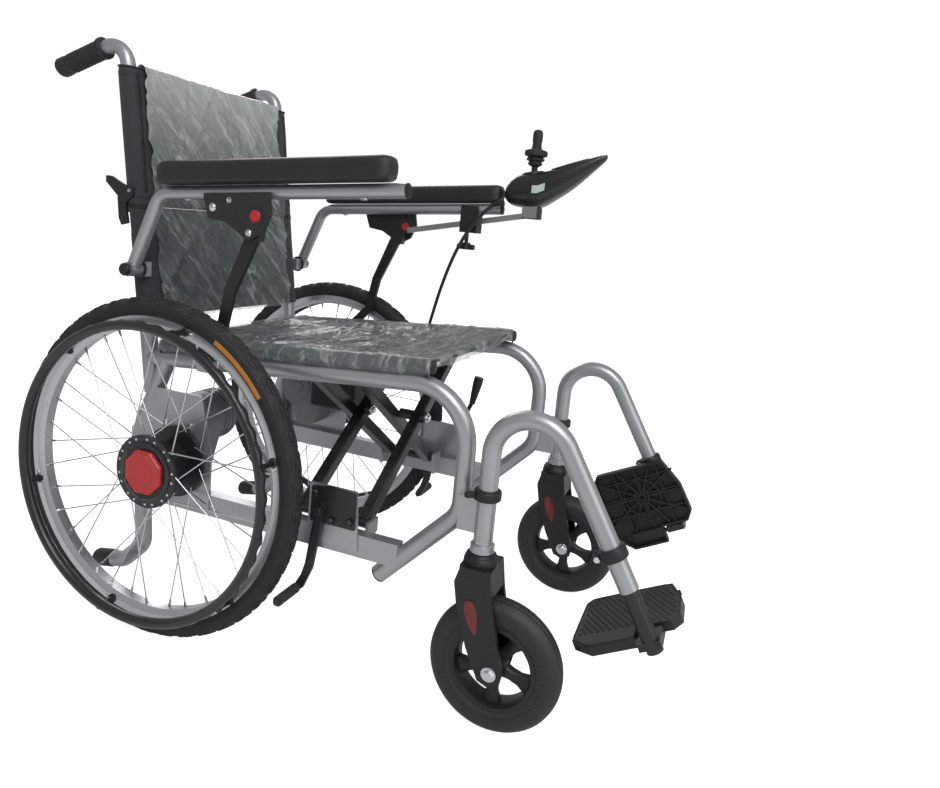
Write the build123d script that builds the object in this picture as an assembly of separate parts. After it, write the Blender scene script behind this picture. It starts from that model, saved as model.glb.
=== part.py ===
"""Folding power wheelchair: two welded side frames on a scissor cross brace, seen as separate pieces.

Pieces are laid out from the rear axle: x is sideways (+ is the sitter's left), fwd is forward of
the axle and z is up from the ground. place() turns that into the model frame, whose front is -Y.
"""
from build123d import *
import math
import os

os.makedirs("parts", exist_ok=True)

# ---------------------------------------------------------------- driving dimensions (mm)
WHEEL_R = 280.0            # rear wheel over the tread
WHEEL_X = 273.0            # rear wheel mid-plane
TYRE_R = 19.0              # rear tyre section radius
RIM_HALF = 14.0
HANDRIM_R = 239.0
HANDRIM_X = 313.5
HANDRIM_TUBE_R = 8.5
SPOKES = 36
CASTER_R = 100.0
CASTER_HALF = 21.5
STEM_X = 226.0
STEM_FWD = 553.0
CASTER_LEAD = 37.0         # caster axle ahead of its swivel, as it stands
FRAME_X = 205.0            # side frame tube plane
TUBE_R = 14.0
TUBE_WALL = 2.0
RAIL_Z = 462.0             # seat rail height where fwd is RAIL_REF
RAIL_REF = 158.0
RAIL_SLOPE = 0.0779
SEAT_FRONT = 438.0
SEAT_REAR = -50.0
SEAT_RAIL_R = 10.0
POST_FOOT_Z = 384.0
POST_FOOT_FWD = -72.0
POST_SLOPE = 0.1447        # backward lean of the back posts
BACK_TOP_Z = 925.0
HINGE_Z = 698.0
SEAT_CLOTH = 6.0           # thickness kept for the seat cloth and its film
BACK_CLOTH = 7.0
ARM_X = 243.0
ARM_TUBE_R = 11.0
ARM_PIVOT = (-88.0, 595.0)
ARM_SLOPE = 0.0819
ARM_BEND = (-36.0, 722.3)
PAD_INNER = 226.5
PAD_OUTER = 270.0
PAD_THICK = 38.0
FOLD_PIVOT_X = 178.0
FOLD_PIVOT_Z = 235.0
PLATE_TILT = 28.0          # footplate toe-up angle, degrees
PLATE_HEEL = (690.0, 147.0)
PLATE_T = 14.0
HANGER_FOOT = (762.0, 260.0)
HANGER_ANGLE = 59.6
CABLE_R = 3.5
RUN_FIT = 0.05             # radial clearance of a turning or sliding fit
FREE = 0.3                 # gap between pieces that move past each other


# ---------------------------------------------------------------- layout helpers
def place(x, fwd, z):
    """A point by its sideways, forward and upward distances, before the origin is set."""
    return Vector(x, -fwd, z)


def route(x, points, radii):
    """A bent tube's centre line in the plane at x."""
    ends = [place(x, f, z) for f, z in points]
    if len(ends) == 2:
        return Line(*ends)
    return FilletPolyline(*ends, radius=radii)


def swept(path, radius):
    """A round bar along a path."""
    section = Plane(origin=path @ 0, z_dir=path % 0) * Circle(radius)
    return sweep(section, path=path)


def bar_x(x0, x1, fwd, z, radius):
    """A round bar lying sideways between two x values."""
    low, high = min(x0, x1), max(x0, x1)
    plane = Plane(origin=place(low, fwd, z), x_dir=(0, -1, 0), z_dir=(1, 0, 0))
    return extrude(plane * Circle(radius), amount=high - low)


def bar_between(a, b, radius):
    """A round bar between two points."""
    plane = Plane(origin=a, z_dir=b - a)
    return extrude(plane * Circle(radius), amount=(b - a).length)


def upright(x, fwd, z0, z1, radius):
    """A round bar standing between two heights."""
    return bar_between(place(x, fwd, z0), place(x, fwd, z1), radius)


def plate_x(x0, x1, outline):
    """A flat plate between two x values, from its side outline of (forward, up) points."""
    low, high = min(x0, x1), max(x0, x1)
    # This plane's axes are forward and up, so the outline's points are taken as they are.
    plane = Plane(origin=place(low, 0, 0), x_dir=(0, -1, 0), z_dir=(-1, 0, 0))
    face = make_face(plane * Polyline(*[(f, z) for f, z in outline], close=True))
    return extrude(face, amount=high - low, dir=(1, 0, 0))


def block(x0, x1, f0, f1, z0, z1):
    """A box between limits in x, forward and up."""
    size = (abs(x1 - x0), abs(f1 - f0), abs(z1 - z0))
    return Pos(place((x0 + x1) / 2, (f0 + f1) / 2, (z0 + z1) / 2)) * Box(*size)


def ring_x(x, fwd, z, section):
    """Revolve a section drawn as (sideways offset, radius) about a sideways axle at x."""
    # This plane's axes are sideways and up, so a section's second coordinate is its radius.
    plane = Plane(origin=place(x, fwd, z), x_dir=(1, 0, 0), z_dir=(0, -1, 0))
    return revolve(plane * section, axis=Axis(place(x, fwd, z), (1, 0, 0)))


def rail_z(fwd):
    """Height of the seat rail's centre line."""
    return RAIL_Z + RAIL_SLOPE * (fwd - RAIL_REF)


def post_fwd(z):
    """Forward place of the back post's centre line."""
    return POST_FOOT_FWD - POST_SLOPE * (z - POST_FOOT_Z)


def arm_z(fwd):
    """Height of the arm tube's centre line."""
    return ARM_BEND[1] + ARM_SLOPE * (fwd - ARM_BEND[0])


POST_RATE = math.hypot(1, POST_SLOPE)
SEAT_TUBE_RISE = TUBE_R + SEAT_RAIL_R + FREE
HINGE_PIN = (post_fwd(HINGE_Z) - TUBE_R - 4.0, HINGE_Z)
LEVER_PIN = (post_fwd(722) + 2.0, 722.0)


# ---------------------------------------------------------------- side frame
FRONT_FWD = 508.0
LOWER_BEND_Z = 299.0
SLANT_END = (385.0, 173.0)
REAR_LEG = ((-42.0, 445.0), (-94.0, 318.0), (-80.0, 104.0), (-122.0, 64.0), (-182.0, 53.0))
LOW_RAIL_X = 209.0
LOW_RAIL = (196.0, 232.0)
LOW_RAIL_HALF = 10.0
SIDE_PLATE = (TUBE_R + FRAME_X, 3.0)       # inner face and thickness of the outboard plates
STEM_TOP = 338.0
STEM_FOOT = 262.0
STEM_BORE = 8.0
AXLE_R = 10.0
BRACE_ARMS = {-1: (228.0, 338.0), 1: (205.0, 292.0)}
ARM_W = 20.0
ARM_H = 22.0
STRUT_REST = (66.0, 464.0)
SPIGOT_R = 12.0
BORE_SPLIT_Z = 298.0       # the fork's bore ends here and the hanger's begins
AXLE_PLATE = [(-92, 205), (-100, 318), (-48, 398), (46, 398), (70, 300), (70, 205)]
BRAKE_PLATE = [(262, 205), (262, 300), (345, 300), (352, 205)]


def pivot_span(side):
    """Forward limits of the cross brace's lower pivot tube on one side."""
    rear, front = BRACE_ARMS[side]
    return rear - ARM_W / 2 - 4, front + ARM_W / 2 + 4


def side_frame(side):
    """Seat rail, front leg, slanted foot, rear leg, lower rail, back post and stem in one weldment."""
    x = side * FRAME_X
    rail_rear = post_fwd(rail_z(-80)) + 2
    corners = [
        (rail_rear, rail_z(rail_rear)),
        (FRONT_FWD, rail_z(FRONT_FWD)),
        (FRONT_FWD, LOWER_BEND_Z),
        SLANT_END,
    ]
    loop = route(x, corners, [85, 50])
    leg = route(x, REAR_LEG, [60, 26, 26])
    post = Line(
        place(x, post_fwd(POST_FOOT_Z), POST_FOOT_Z),
        place(x, post_fwd(HINGE_Z), HINGE_Z),
    )
    stem = Line(
        place(side * STEM_X, STEM_FWD, STEM_FOOT + 0.5),
        place(side * STEM_X, STEM_FWD, STEM_TOP),
    )
    paths = [loop, leg, post, stem]
    outer = swept(paths[0], TUBE_R)
    for path in paths[1:]:
        outer += swept(path, TUBE_R)
    # The lower rail runs from the rear leg to the slanted foot.
    low_x0 = side * (LOW_RAIL_X - LOW_RAIL_HALF)
    low_x1 = side * (LOW_RAIL_X + LOW_RAIL_HALF)
    outer += block(low_x0, low_x1, -78, 418, *LOW_RAIL)
    # Two webs tie the stem to the front leg.
    for low, high in ((290, 300), (326, 336)):
        web = Polyline(
            (side * FRAME_X, -FRONT_FWD + 8),
            (side * STEM_X, -STEM_FWD + 8),
            (side * STEM_X, -STEM_FWD - 8),
            (side * FRAME_X, -FRONT_FWD - 8),
            close=True,
        )
        outer += extrude(Plane.XY.offset(low) * make_face(web), amount=high - low)
    web_x = (side * (FRAME_X - 3), side * (STEM_X + 3))
    outer += block(*web_x, FRONT_FWD + 4, STEM_FWD - 4, 286, STEM_TOP - 1)
    # Outboard plates carry the drive axle and the brake.
    plate0 = side * (SIDE_PLATE[0] - 1)
    plate1 = side * (SIDE_PLATE[0] + SIDE_PLATE[1])
    outer += plate_x(plate0, plate1, AXLE_PLATE)
    outer += plate_x(plate0, plate1, BRAKE_PLATE)
    # Rest for the armrest's strut.
    outer += block(x, side * (ARM_X + 6), 56, 80, rail_z(68) - 8, STRUT_REST[1] - FREE)
    # Eye that the armrest turns on.
    pivot_f, pivot_z = ARM_PIVOT
    eye_x = (side * (FRAME_X + 8), side * (FRAME_X + 26))
    outer += block(*eye_x, pivot_f - 14, pivot_f + 10, pivot_z - 12, pivot_z + 12)
    outer += bar_x(side * (FRAME_X + 20), side * (ARM_X + 14), pivot_f, pivot_z, 4)
    outer += bar_x(side * (ARM_X + 12), side * (ARM_X + 16), pivot_f, pivot_z, 8)
    # Lugs and pin for the cross brace.
    span = pivot_span(side)
    for f0, f1 in ((span[0] - 6, span[0] - FREE), (span[1] + FREE, span[1] + 6)):
        lug_x = (side * (FOLD_PIVOT_X - 10), low_x0 + side)
        outer += block(*lug_x, f0, f1, FOLD_PIVOT_Z - 14, FOLD_PIVOT_Z + 10)
        web_x = (side * (FOLD_PIVOT_X - 4), low_x0 + side * 2)
        outer += block(*web_x, f0, f1, LOW_RAIL[0] + 6, FOLD_PIVOT_Z - 8)
    outer += bar_between(
        place(side * FOLD_PIVOT_X, span[0] - 6, FOLD_PIVOT_Z),
        place(side * FOLD_PIVOT_X, span[1] + 6, FOLD_PIVOT_Z),
        5,
    )
    # Hinge knuckles behind the top of the post.
    for near, far in ((-12, -5), (5, 12)):
        outer += knuckle(side, near, far, HINGE_Z - 12, HINGE_Z - 1)
    frame = outer - bar_x(x - 4.9, x + 4.9, *HINGE_PIN, 7) + bar_x(x - 12, x + 12, *HINGE_PIN, 3)
    for path in (loop, leg):
        frame -= swept(path, TUBE_R - TUBE_WALL)
    frame -= bar_between(
        place(x, post_fwd(POST_FOOT_Z - 2), POST_FOOT_Z - 2),
        place(x, post_fwd(HINGE_Z - 8), HINGE_Z - 8),
        TUBE_R - TUBE_WALL,
    )
    frame -= block(low_x0 + side * 2, low_x1 - side * 2, -60, 400, LOW_RAIL[0] + 2, LOW_RAIL[1] - 2)
    # Bores: fork stem below, hanger spigot above, drive axle through the plate.
    stem_x = side * STEM_X
    frame -= upright(stem_x, STEM_FWD, STEM_FOOT, BORE_SPLIT_Z, STEM_BORE + RUN_FIT)
    frame -= upright(stem_x, STEM_FWD, BORE_SPLIT_Z, STEM_TOP + 1, SPIGOT_R)
    frame -= bar_x(plate0 - side * 2, plate1 + side * 2, 0, WHEEL_R, AXLE_R + 1)
    return frame


def knuckle(side, near, far, z0, z1):
    """One barrel of the back hinge with the lug that joins it to its post."""
    x = side * FRAME_X
    outline = [
        (HINGE_PIN[0] - 4, z0),
        (HINGE_PIN[0] - 4, z1),
        (post_fwd(z1) - TUBE_R + 6, z1),
        (post_fwd(z0) - TUBE_R + 6, z0),
    ]
    lug = plate_x(x + near, x + far, outline)
    barrel = bar_x(x + near, x + far, *HINGE_PIN, 6.5)
    return lug + barrel


# ---------------------------------------------------------------- folding half of the back
GRIP_FRONT = (-205.0, 954.0)
GRIP_REAR = (-297.0, 921.0)
GRIP_R = 16.5
GRIP_TUBE_R = 12.0


def upper_post(side):
    """Upper back post, bent back into the push handle."""
    x = side * FRAME_X
    slope = (GRIP_FRONT[1] - GRIP_REAR[1]) / (GRIP_FRONT[0] - GRIP_REAR[0])
    # The straight post and the handle line meet at the bend.
    rise = GRIP_FRONT[1] + slope * (post_fwd(0) - GRIP_FRONT[0])
    bend_z = rise / (1 + slope * POST_SLOPE)
    start_z = HINGE_Z + 0.6
    path = route(x, [(post_fwd(start_z), start_z), (post_fwd(bend_z), bend_z), GRIP_REAR], [34])
    body = swept(path, GRIP_TUBE_R)
    sleeve = bar_between(place(x, post_fwd(start_z), start_z), place(x, post_fwd(735), 735), TUBE_R)
    body += sleeve
    body += knuckle(side, -4.6, 4.6, HINGE_Z + 1.5, HINGE_Z + 14)
    # Ear for the release lever.
    body += bar_x(side * (FRAME_X + 8), side * (FRAME_X + TUBE_R + 0.6), *LEVER_PIN, 7)
    body += bar_x(side * (FRAME_X + 10), side * (FRAME_X + 22), *LEVER_PIN, 3)
    body -= bar_x(x - 14, x + 14, *HINGE_PIN, 3 + RUN_FIT)
    for near, far in ((-12, -4.9), (4.9, 12)):
        body -= bar_x(x + near, x + far, *HINGE_PIN, 7)
    return body - swept(path, GRIP_TUBE_R - TUBE_WALL)


def push_grip(side):
    """Rubber sleeve with a flange at its front."""
    x = side * FRAME_X
    front = place(x, *GRIP_FRONT)
    rear = place(x, *GRIP_REAR)
    along = (rear - front).normalized()
    grip = bar_between(front, rear + along * 3, GRIP_R)
    grip += bar_between(front - along * 5, front + along * 4, GRIP_R + 2)
    return grip - bar_between(front - along * 12, rear, GRIP_TUBE_R)


def back_lever(side):
    """Flat lever that lets the upper half of the back fold down."""
    x0 = side * (FRAME_X + TUBE_R + 1)
    x1 = side * (FRAME_X + TUBE_R + 5)
    outline = [
        (-121, 668), (-136, 664), (-142, 676), (-146, 712), (-172, 734), (-172, 744),
        (-160, 744), (-128, 730), (-112, 728), (-112, 716), (-128, 700),
    ]
    lever = plate_x(x0, x1, outline)
    return lever - bar_x(x0 - side, x1 + side, *LEVER_PIN, 3 + RUN_FIT)


# ---------------------------------------------------------------- armrests
ARM_END = {-1: 398.0, 1: 380.0}
PAD_ENDS = (-29.0, 378.0)
BUTTON_AT = (162.0, 702.0)
BUTTON_R = 9.0
BRACKET_X = (255.0, 261.0)


def arm_frame(side):
    """Bent arm tube with the eye it flips up on."""
    x = side * ARM_X
    end = ARM_END[side]
    path = route(x, [ARM_PIVOT, ARM_BEND, (end, arm_z(end))], [36])
    body = swept(path, ARM_TUBE_R) + bar_x(x - side * 11, x + side * 11, *ARM_PIVOT, 12)
    body -= swept(path, ARM_TUBE_R - 1.5) & block(-300, 300, -80, end + 5, 620, 800)
    return body - bar_x(x - 12, x + 12, *ARM_PIVOT, 4 + RUN_FIT)


def arm_pad(side):
    """Padded armrest top, straight along the arm tube with round ends."""
    x0 = side * PAD_INNER
    x1 = side * PAD_OUTER
    rear, front = PAD_ENDS
    low = ARM_TUBE_R + FREE
    top = low + PAD_THICK
    outline = [
        (rear, arm_z(rear) + low),
        (front, arm_z(front) + low),
        (front, arm_z(front) + top),
        (rear, arm_z(rear) + top),
    ]
    pad = plate_x(x0, x1, outline)
    return fillet(pad.edges().filter_by(Axis.X), 12)


def arm_bracket(side):
    """Black latch bracket on the arm tube with the strut that stands on the seat rail."""
    x = side * ARM_X
    outline = [(64, 721), (64, 729), (181, 739), (187, 706), (175, 678), (150, 664), (107, 688), (75, 692)]
    outer = plate_x(side * BRACKET_X[0], side * BRACKET_X[1], outline)
    inner = side * BRACKET_X[0]
    hanger = plate_x(side * (ARM_X - 4), inner, [(138, 664), (162, 664), (168, 690), (140, 690)])
    strap = plate_x(side * (ARM_X + 9), inner, [(70, 722), (70, 730), (110, 733), (110, 725)])
    foot_f, foot_z = STRUT_REST
    leg = [
        (160, 672), (162, 690), (142, 690), (100, 585), (88, 520),
        (foot_f - 9, foot_z + 24), (foot_f - 9, foot_z), (foot_f + 9, foot_z), (foot_f + 11, foot_z + 20),
        (104, 512), (118, 580),
    ]
    strut = plate_x(x - 4, x + 4, leg)
    body = outer + hanger + strap + strut
    body -= swept(route(x, [ARM_PIVOT, ARM_BEND, (390, arm_z(390))], [36]), ARM_TUBE_R)
    bore_x = (side * (BRACKET_X[0] - 4), side * (BRACKET_X[1] + 2))
    return body - bar_x(*bore_x, *BUTTON_AT, BUTTON_R + RUN_FIT)


def arm_button(side):
    """Round push button of the armrest latch."""
    button = bar_x(side * (BRACKET_X[0] + 1), side * (BRACKET_X[1] + 4), *BUTTON_AT, BUTTON_R)
    outer_face = button.faces().sort_by(Axis.X)[-1 if side > 0 else 0]
    return fillet(outer_face.edges(), 2)


# ---------------------------------------------------------------- rear wheels
AXLE = (0.0, WHEEL_R)
TYRE_C = WHEEL_R - TYRE_R
RIM_TOP = WHEEL_R - 29.0
HUB_IN = 226.0
HUB_OUT = 291.0
FLANGE_R = 60.0
HOLE_R = 54.0
SPOKE_R = 1.1
KNOB_R = 14.0


def rear_tyre(side):
    """Hollow tyre, open towards the rim."""
    section = Pos(0, TYRE_C) * (Circle(TYRE_R) - Circle(TYRE_R - 4))
    section -= Pos(0, RIM_TOP - 10) * Rectangle(2 * RIM_HALF, 20)
    section -= Pos(0, RIM_TOP - 12) * Rectangle(60, 20)
    return ring_x(side * WHEEL_X, *AXLE, section)


def rear_rim(side):
    """Alloy rim with two lips."""
    half = RIM_HALF
    top = RIM_TOP
    outline = Polyline(
        (-half, top), (-half + 3, top), (-half + 3, top - 6), (half - 3, top - 6), (half - 3, top),
        (half, top), (half, top - 11), (half - 6, top - 19), (6 - half, top - 19), (-half, top - 11),
        close=True,
    )
    return ring_x(side * WHEEL_X, *AXLE, make_face(outline))


def rear_hub(side):
    """Hub barrel with two spoke flanges, bored for the axle and recessed for the clutch knob."""
    x0, x1 = side * HUB_IN, side * HUB_OUT
    hub = bar_x(x0, x1, *AXLE, 36)
    hub += bar_x(x0, x0 + side * 5, *AXLE, FLANGE_R)
    hub += bar_x(x1 - side * 5, x1, *AXLE, FLANGE_R)
    hub -= bar_x(x0 - side, x1 + side, *AXLE, AXLE_R + RUN_FIT)
    return hub - bar_x(x1 - side * 10, x1 + side, *AXLE, KNOB_R + RUN_FIT)


def rear_spokes(side):
    """Crossed spokes, half to each flange."""
    spokes = []
    for i in range(SPOKES):
        turn = math.radians(360 / SPOKES * i)
        lean = math.radians(38 if i % 4 < 2 else -38)
        outboard = i % 2
        flange = HUB_OUT - 2.5 if outboard else HUB_IN + 2.5
        layer = 1.5 if i % 4 < 2 else -1.5
        hole_f, hole_z = HOLE_R * math.cos(turn + lean), HOLE_R * math.sin(turn + lean)
        a = place(side * (flange + layer), hole_f, WHEEL_R + hole_z)
        rim_x = side * (WHEEL_X + (3 if outboard else -3))
        reach = RIM_TOP - 18
        b = place(rim_x, reach * math.cos(turn), WHEEL_R + reach * math.sin(turn))
        spokes.append(bar_between(a, b, SPOKE_R))
    return spokes


def hand_rim(side):
    """Push ring on six clips."""
    ring = Torus(HANDRIM_R, HANDRIM_TUBE_R)
    body = Pos(place(side * HANDRIM_X, *AXLE)) * Rot(0, 90, 0) * ring
    for i in range(6):
        turn = math.radians(60 * i + 15)
        body += bar_x(
            side * (WHEEL_X + RIM_HALF),
            side * (HANDRIM_X - 3),
            (HANDRIM_R + 5) * math.cos(turn),
            WHEEL_R + (HANDRIM_R + 5) * math.sin(turn),
            5,
        )
    return body


def clutch_knob(side):
    """Eight-sided knob that frees the wheel from its motor."""
    x0 = side * (HUB_OUT + FREE)
    radius = 38.0
    turns = [math.radians(45 * i + 22.5) for i in range(8)]
    corners = [(radius * math.cos(t), WHEEL_R + radius * math.sin(t)) for t in turns]
    head = plate_x(x0, x0 + side * 9, corners)
    return head + bar_x(x0 - side * 8, x0, *AXLE, KNOB_R)


MOTOR_C = (3.0, 345.0)
MOTOR_R = 43.0
MOTOR_IN = 128.0


def drive_motor(side):
    """Gear motor with its gearbox and the fixed axle."""
    outer = side * SIDE_PLATE[0]
    box = bar_x(outer - side * 54, outer - side, *MOTOR_C, 45)
    box += bar_x(outer - side * 54, outer - side, *AXLE, 30)
    web = plate_x(outer - side * 54, outer - side, [(-30, 280), (-42, 345), (48, 345), (30, 280)])
    body = box + web + bar_x(side * MOTOR_IN, outer - side * 50, *MOTOR_C, MOTOR_R)
    body += bar_x(outer - side * 10, side * (HUB_OUT - 10.5), *AXLE, AXLE_R)
    return body


# ---------------------------------------------------------------- casters
CASTER_AXLE = (STEM_FWD + CASTER_LEAD, CASTER_R)
FORK_IN = 24.0
FORK_OUT = 31.0


def caster_fork(side):
    """Moulded fork with its stem and axle pin."""
    x = side * STEM_X
    outline = [
        (533, 246), (526, 222), (532, 190), (552, 130), (574, 86), (590, 80),
        (606, 88), (609, 104), (596, 150), (584, 206), (578, 246),
    ]
    body = None
    for sign in (-1, 1):
        arm = plate_x(x + sign * FORK_IN, x + sign * FORK_OUT, outline)
        body = arm if body is None else body + arm
    body += plate_x(x - FORK_IN - 1, x + FORK_IN + 1, [(530, 208), (530, 246), (578, 246), (583, 208)])
    body += Pos(place(x, STEM_FWD, 251)) * Cylinder(22, 14)
    body += Pos(place(x, STEM_FWD, 259)) * Cylinder(18, 6)
    body += Pos(place(x, STEM_FWD, 277)) * Cylinder(STEM_BORE, 36)
    return body + bar_x(x - FORK_OUT - 3, x + FORK_OUT + 3, *CASTER_AXLE, 5)


def caster_wheel(side):
    """Caster rim and its tyre."""
    x = side * STEM_X
    half = 18.0
    rim = bar_x(x - half, x + half, *CASTER_AXLE, 20)
    rim += bar_x(x - 6, x + 6, *CASTER_AXLE, 63)
    rim += ring_x(x, *CASTER_AXLE, Pos(0, 61) * Rectangle(2 * half, 6))
    for i in range(5):
        turn = math.radians(72 * i + 18)
        rim -= bar_x(x - 8, x + 8, CASTER_AXLE[0] + 41 * math.cos(turn), CASTER_R + 41 * math.sin(turn), 9)
    rim -= bar_x(x - half - 1, x + half + 1, *CASTER_AXLE, 5 + RUN_FIT)
    section = Pos(0, (64 + CASTER_R) / 2) * RectangleRounded(2 * CASTER_HALF, CASTER_R - 64, 14)
    section -= Pos(0, 62) * Rectangle(2 * half, 8)
    tyre = ring_x(x, *CASTER_AXLE, section)
    return [rim, tyre]


# ---------------------------------------------------------------- leg rests
SLIDE_DIR = Vector(0, -math.cos(math.radians(HANGER_ANGLE)), -math.sin(math.radians(HANGER_ANGLE)))
PLATE_ALONG = Vector(0, -math.cos(math.radians(PLATE_TILT)), math.sin(math.radians(PLATE_TILT)))
PLATE_UP = Vector(0, math.sin(math.radians(PLATE_TILT)), math.cos(math.radians(PLATE_TILT)))
PLATE_HINGE_X = 199.0
PIN_DEPTH = 8.0


def hanger(side):
    """Swing-away leg rest tube with its collar, seated in the stem by a spigot."""
    x = side * STEM_X
    foot_f, foot_z = HANGER_FOOT
    run = (foot_f - STEM_FWD) * math.tan(math.radians(HANGER_ANGLE))
    path = route(x, [(STEM_FWD, STEM_TOP + 1), (STEM_FWD, foot_z + run), HANGER_FOOT], [57])
    body = swept(path, TUBE_R) - swept(path, TUBE_R - TUBE_WALL)
    body += Pos(place(x, STEM_FWD, STEM_TOP + 6)) * Cylinder(17.5, 11)
    body += Pos(place(x, STEM_FWD, STEM_TOP - 5)) * Cylinder(12 - RUN_FIT, 46)
    collar = place(x, *HANGER_FOOT) - SLIDE_DIR * 60
    ring = bar_between(collar, collar + SLIDE_DIR * 15, 18) - bar_between(collar, collar + SLIDE_DIR * 15, 13)
    return body + ring


def plate_point(side, along, inward, up):
    """A point of a lowered footplate, from its hinge line at the heel."""
    heel = place(side * PLATE_HINGE_X, *PLATE_HEEL)
    return heel + PLATE_ALONG * along + Vector(-side * inward, 0, 0) + PLATE_UP * up


def plate_slab(side, outline, low, high):
    """A slab parallel to a lowered footplate."""
    face = make_face(Polyline(*[plate_point(side, a, w, low) for a, w in outline], close=True))
    return extrude(face, amount=high - low, dir=PLATE_UP)


def footrest_tube(side):
    """Sliding tube that carries the footplate's hinge."""
    foot = place(side * STEM_X, *HANGER_FOOT)
    body = bar_between(foot - SLIDE_DIR * 90, foot + SLIDE_DIR * 86, 12 - RUN_FIT)
    # The block's corners stay inside the swing of the plate's edge.
    body += plate_slab(side, [(102, -38), (102, 5), (134, 5), (134, -38)], -13.5, -2.5)
    pin_ends = [plate_point(side, along, 0, -PIN_DEPTH) for along in (34, 134)]
    return body + bar_between(*pin_ends, 4)


def footplate(side):
    """Foot support with cut corners and ribs below, hinged along its outer edge."""
    outline = [
        (0, 6), (32, -22), (97, -22), (97, 8), (146, 8),
        (158, 24), (156, 76), (138, 128), (10, 132), (0, 120),
    ]
    body = plate_slab(side, outline, -5, 0)
    rim = [
        (4, 8), (33, -18), (94, -18), (94, 12), (144, 12),
        (154, 26), (152, 74), (135, 124), (12, 128), (4, 118),
    ]
    body += plate_slab(side, outline, -PLATE_T, -4) - plate_slab(side, rim, -PLATE_T - 1, -4)
    for a in (40, 82, 122):
        body += plate_slab(side, [(a, 10), (a + 3, 10), (a + 3, 127), (a, 127)], -PLATE_T + 2, -4)
    for w in (40, 74, 106):
        body += plate_slab(side, [(3, w), (3, w + 3), (150, w + 3), (150, w)], -PLATE_T + 2, -4)
    body += plate_slab(side, [(36, -8), (97, -8), (97, 8), (36, 8)], -PLATE_T, -4)
    bore_ends = [plate_point(side, along, 0, -PIN_DEPTH) for along in (-2, 140)]
    body -= bar_between(*bore_ends, 4 + RUN_FIT)
    if side < 0:
        return body
    # The left footplate stands flipped up.
    hinge = Axis(plate_point(side, 0, 0, -PIN_DEPTH), PLATE_ALONG)
    return body.rotate(hinge, -90)


# ---------------------------------------------------------------- brakes
BRAKE_X = (SIDE_PLATE[0] + SIDE_PLATE[1], 4.0)
SHOE_PIN = (288.0, 262.0)
LEVER_AT = (322.0, 266.0)


def brake_bracket(side):
    """Plate with the pins that the brake's levers turn on."""
    x0 = side * BRAKE_X[0]
    x1 = x0 + side * BRAKE_X[1]
    body = plate_x(x0, x1, [(268, 240), (268, 296), (300, 300), (346, 298), (346, 240)])
    body += bar_x(x1 - side, x1 + side * 8, *SHOE_PIN, 4)
    body += bar_x(x1 + side * 7, x1 + side * 10, *SHOE_PIN, 8)
    for f, z in ((338, 252), (276, 288), (306, 248)):
        body += bar_x(x1 - side, x1 + side * 3, f, z, 5)
    if side > 0:
        body += bar_x(x1 - side, x1 + side * 8, *LEVER_AT, 4)
    return body


def brake_shoe(side):
    """Bent bar whose foot presses on the tyre."""
    x0 = side * (BRAKE_X[0] + BRAKE_X[1] + FREE)
    x1 = x0 + side * 6
    outline = [
        (276, 266), (288, 274), (298, 266), (292, 240), (281, 164), (266, 128),
        (256, 122), (252, 132), (262, 150), (268, 170), (277, 240),
    ]
    body = plate_x(x0, x1, outline) + bar_x(x0, side * 289, 258, 129, 6)
    return body - bar_x(x0 - side, x1 + side, *SHOE_PIN, 4 + RUN_FIT)


def brake_lever(side):
    """Hand lever with its grip."""
    x0 = side * (BRAKE_X[0] + BRAKE_X[1] + FREE)
    x1 = x0 + side * 6
    outline = [
        (312, 260), (314, 276), (326, 284), (357, 352),
        (364, 349), (334, 278), (332, 262), (322, 256),
    ]
    lever = plate_x(x0, x1, outline)
    lever -= bar_x(x0 - side, x1 + side, *LEVER_AT, 4 + RUN_FIT)
    mid = (x0 + x1) / 2
    grip = Solid.make_cone(6, 10, 44, Plane(origin=place(mid, 361, 350), z_dir=place(0, 8, 44)))
    grip += bar_between(place(mid, 368.5, 391), place(mid, 371.5, 407), 9.9)
    return lever + grip


# ---------------------------------------------------------------- seat, back and cross brace
def seat_rail(side):
    """Tube that the seat's edge wraps round, with its end plug."""
    rear, front = SEAT_REAR + 6, SEAT_FRONT + 4
    a = place(side * FRAME_X, rear, rail_z(rear) + SEAT_TUBE_RISE)
    b = place(side * FRAME_X, front, rail_z(front) + SEAT_TUBE_RISE)
    return bar_between(a, b, SEAT_RAIL_R) - bar_between(a, b - (b - a).normalized() * 6, SEAT_RAIL_R - 1.6)


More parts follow.
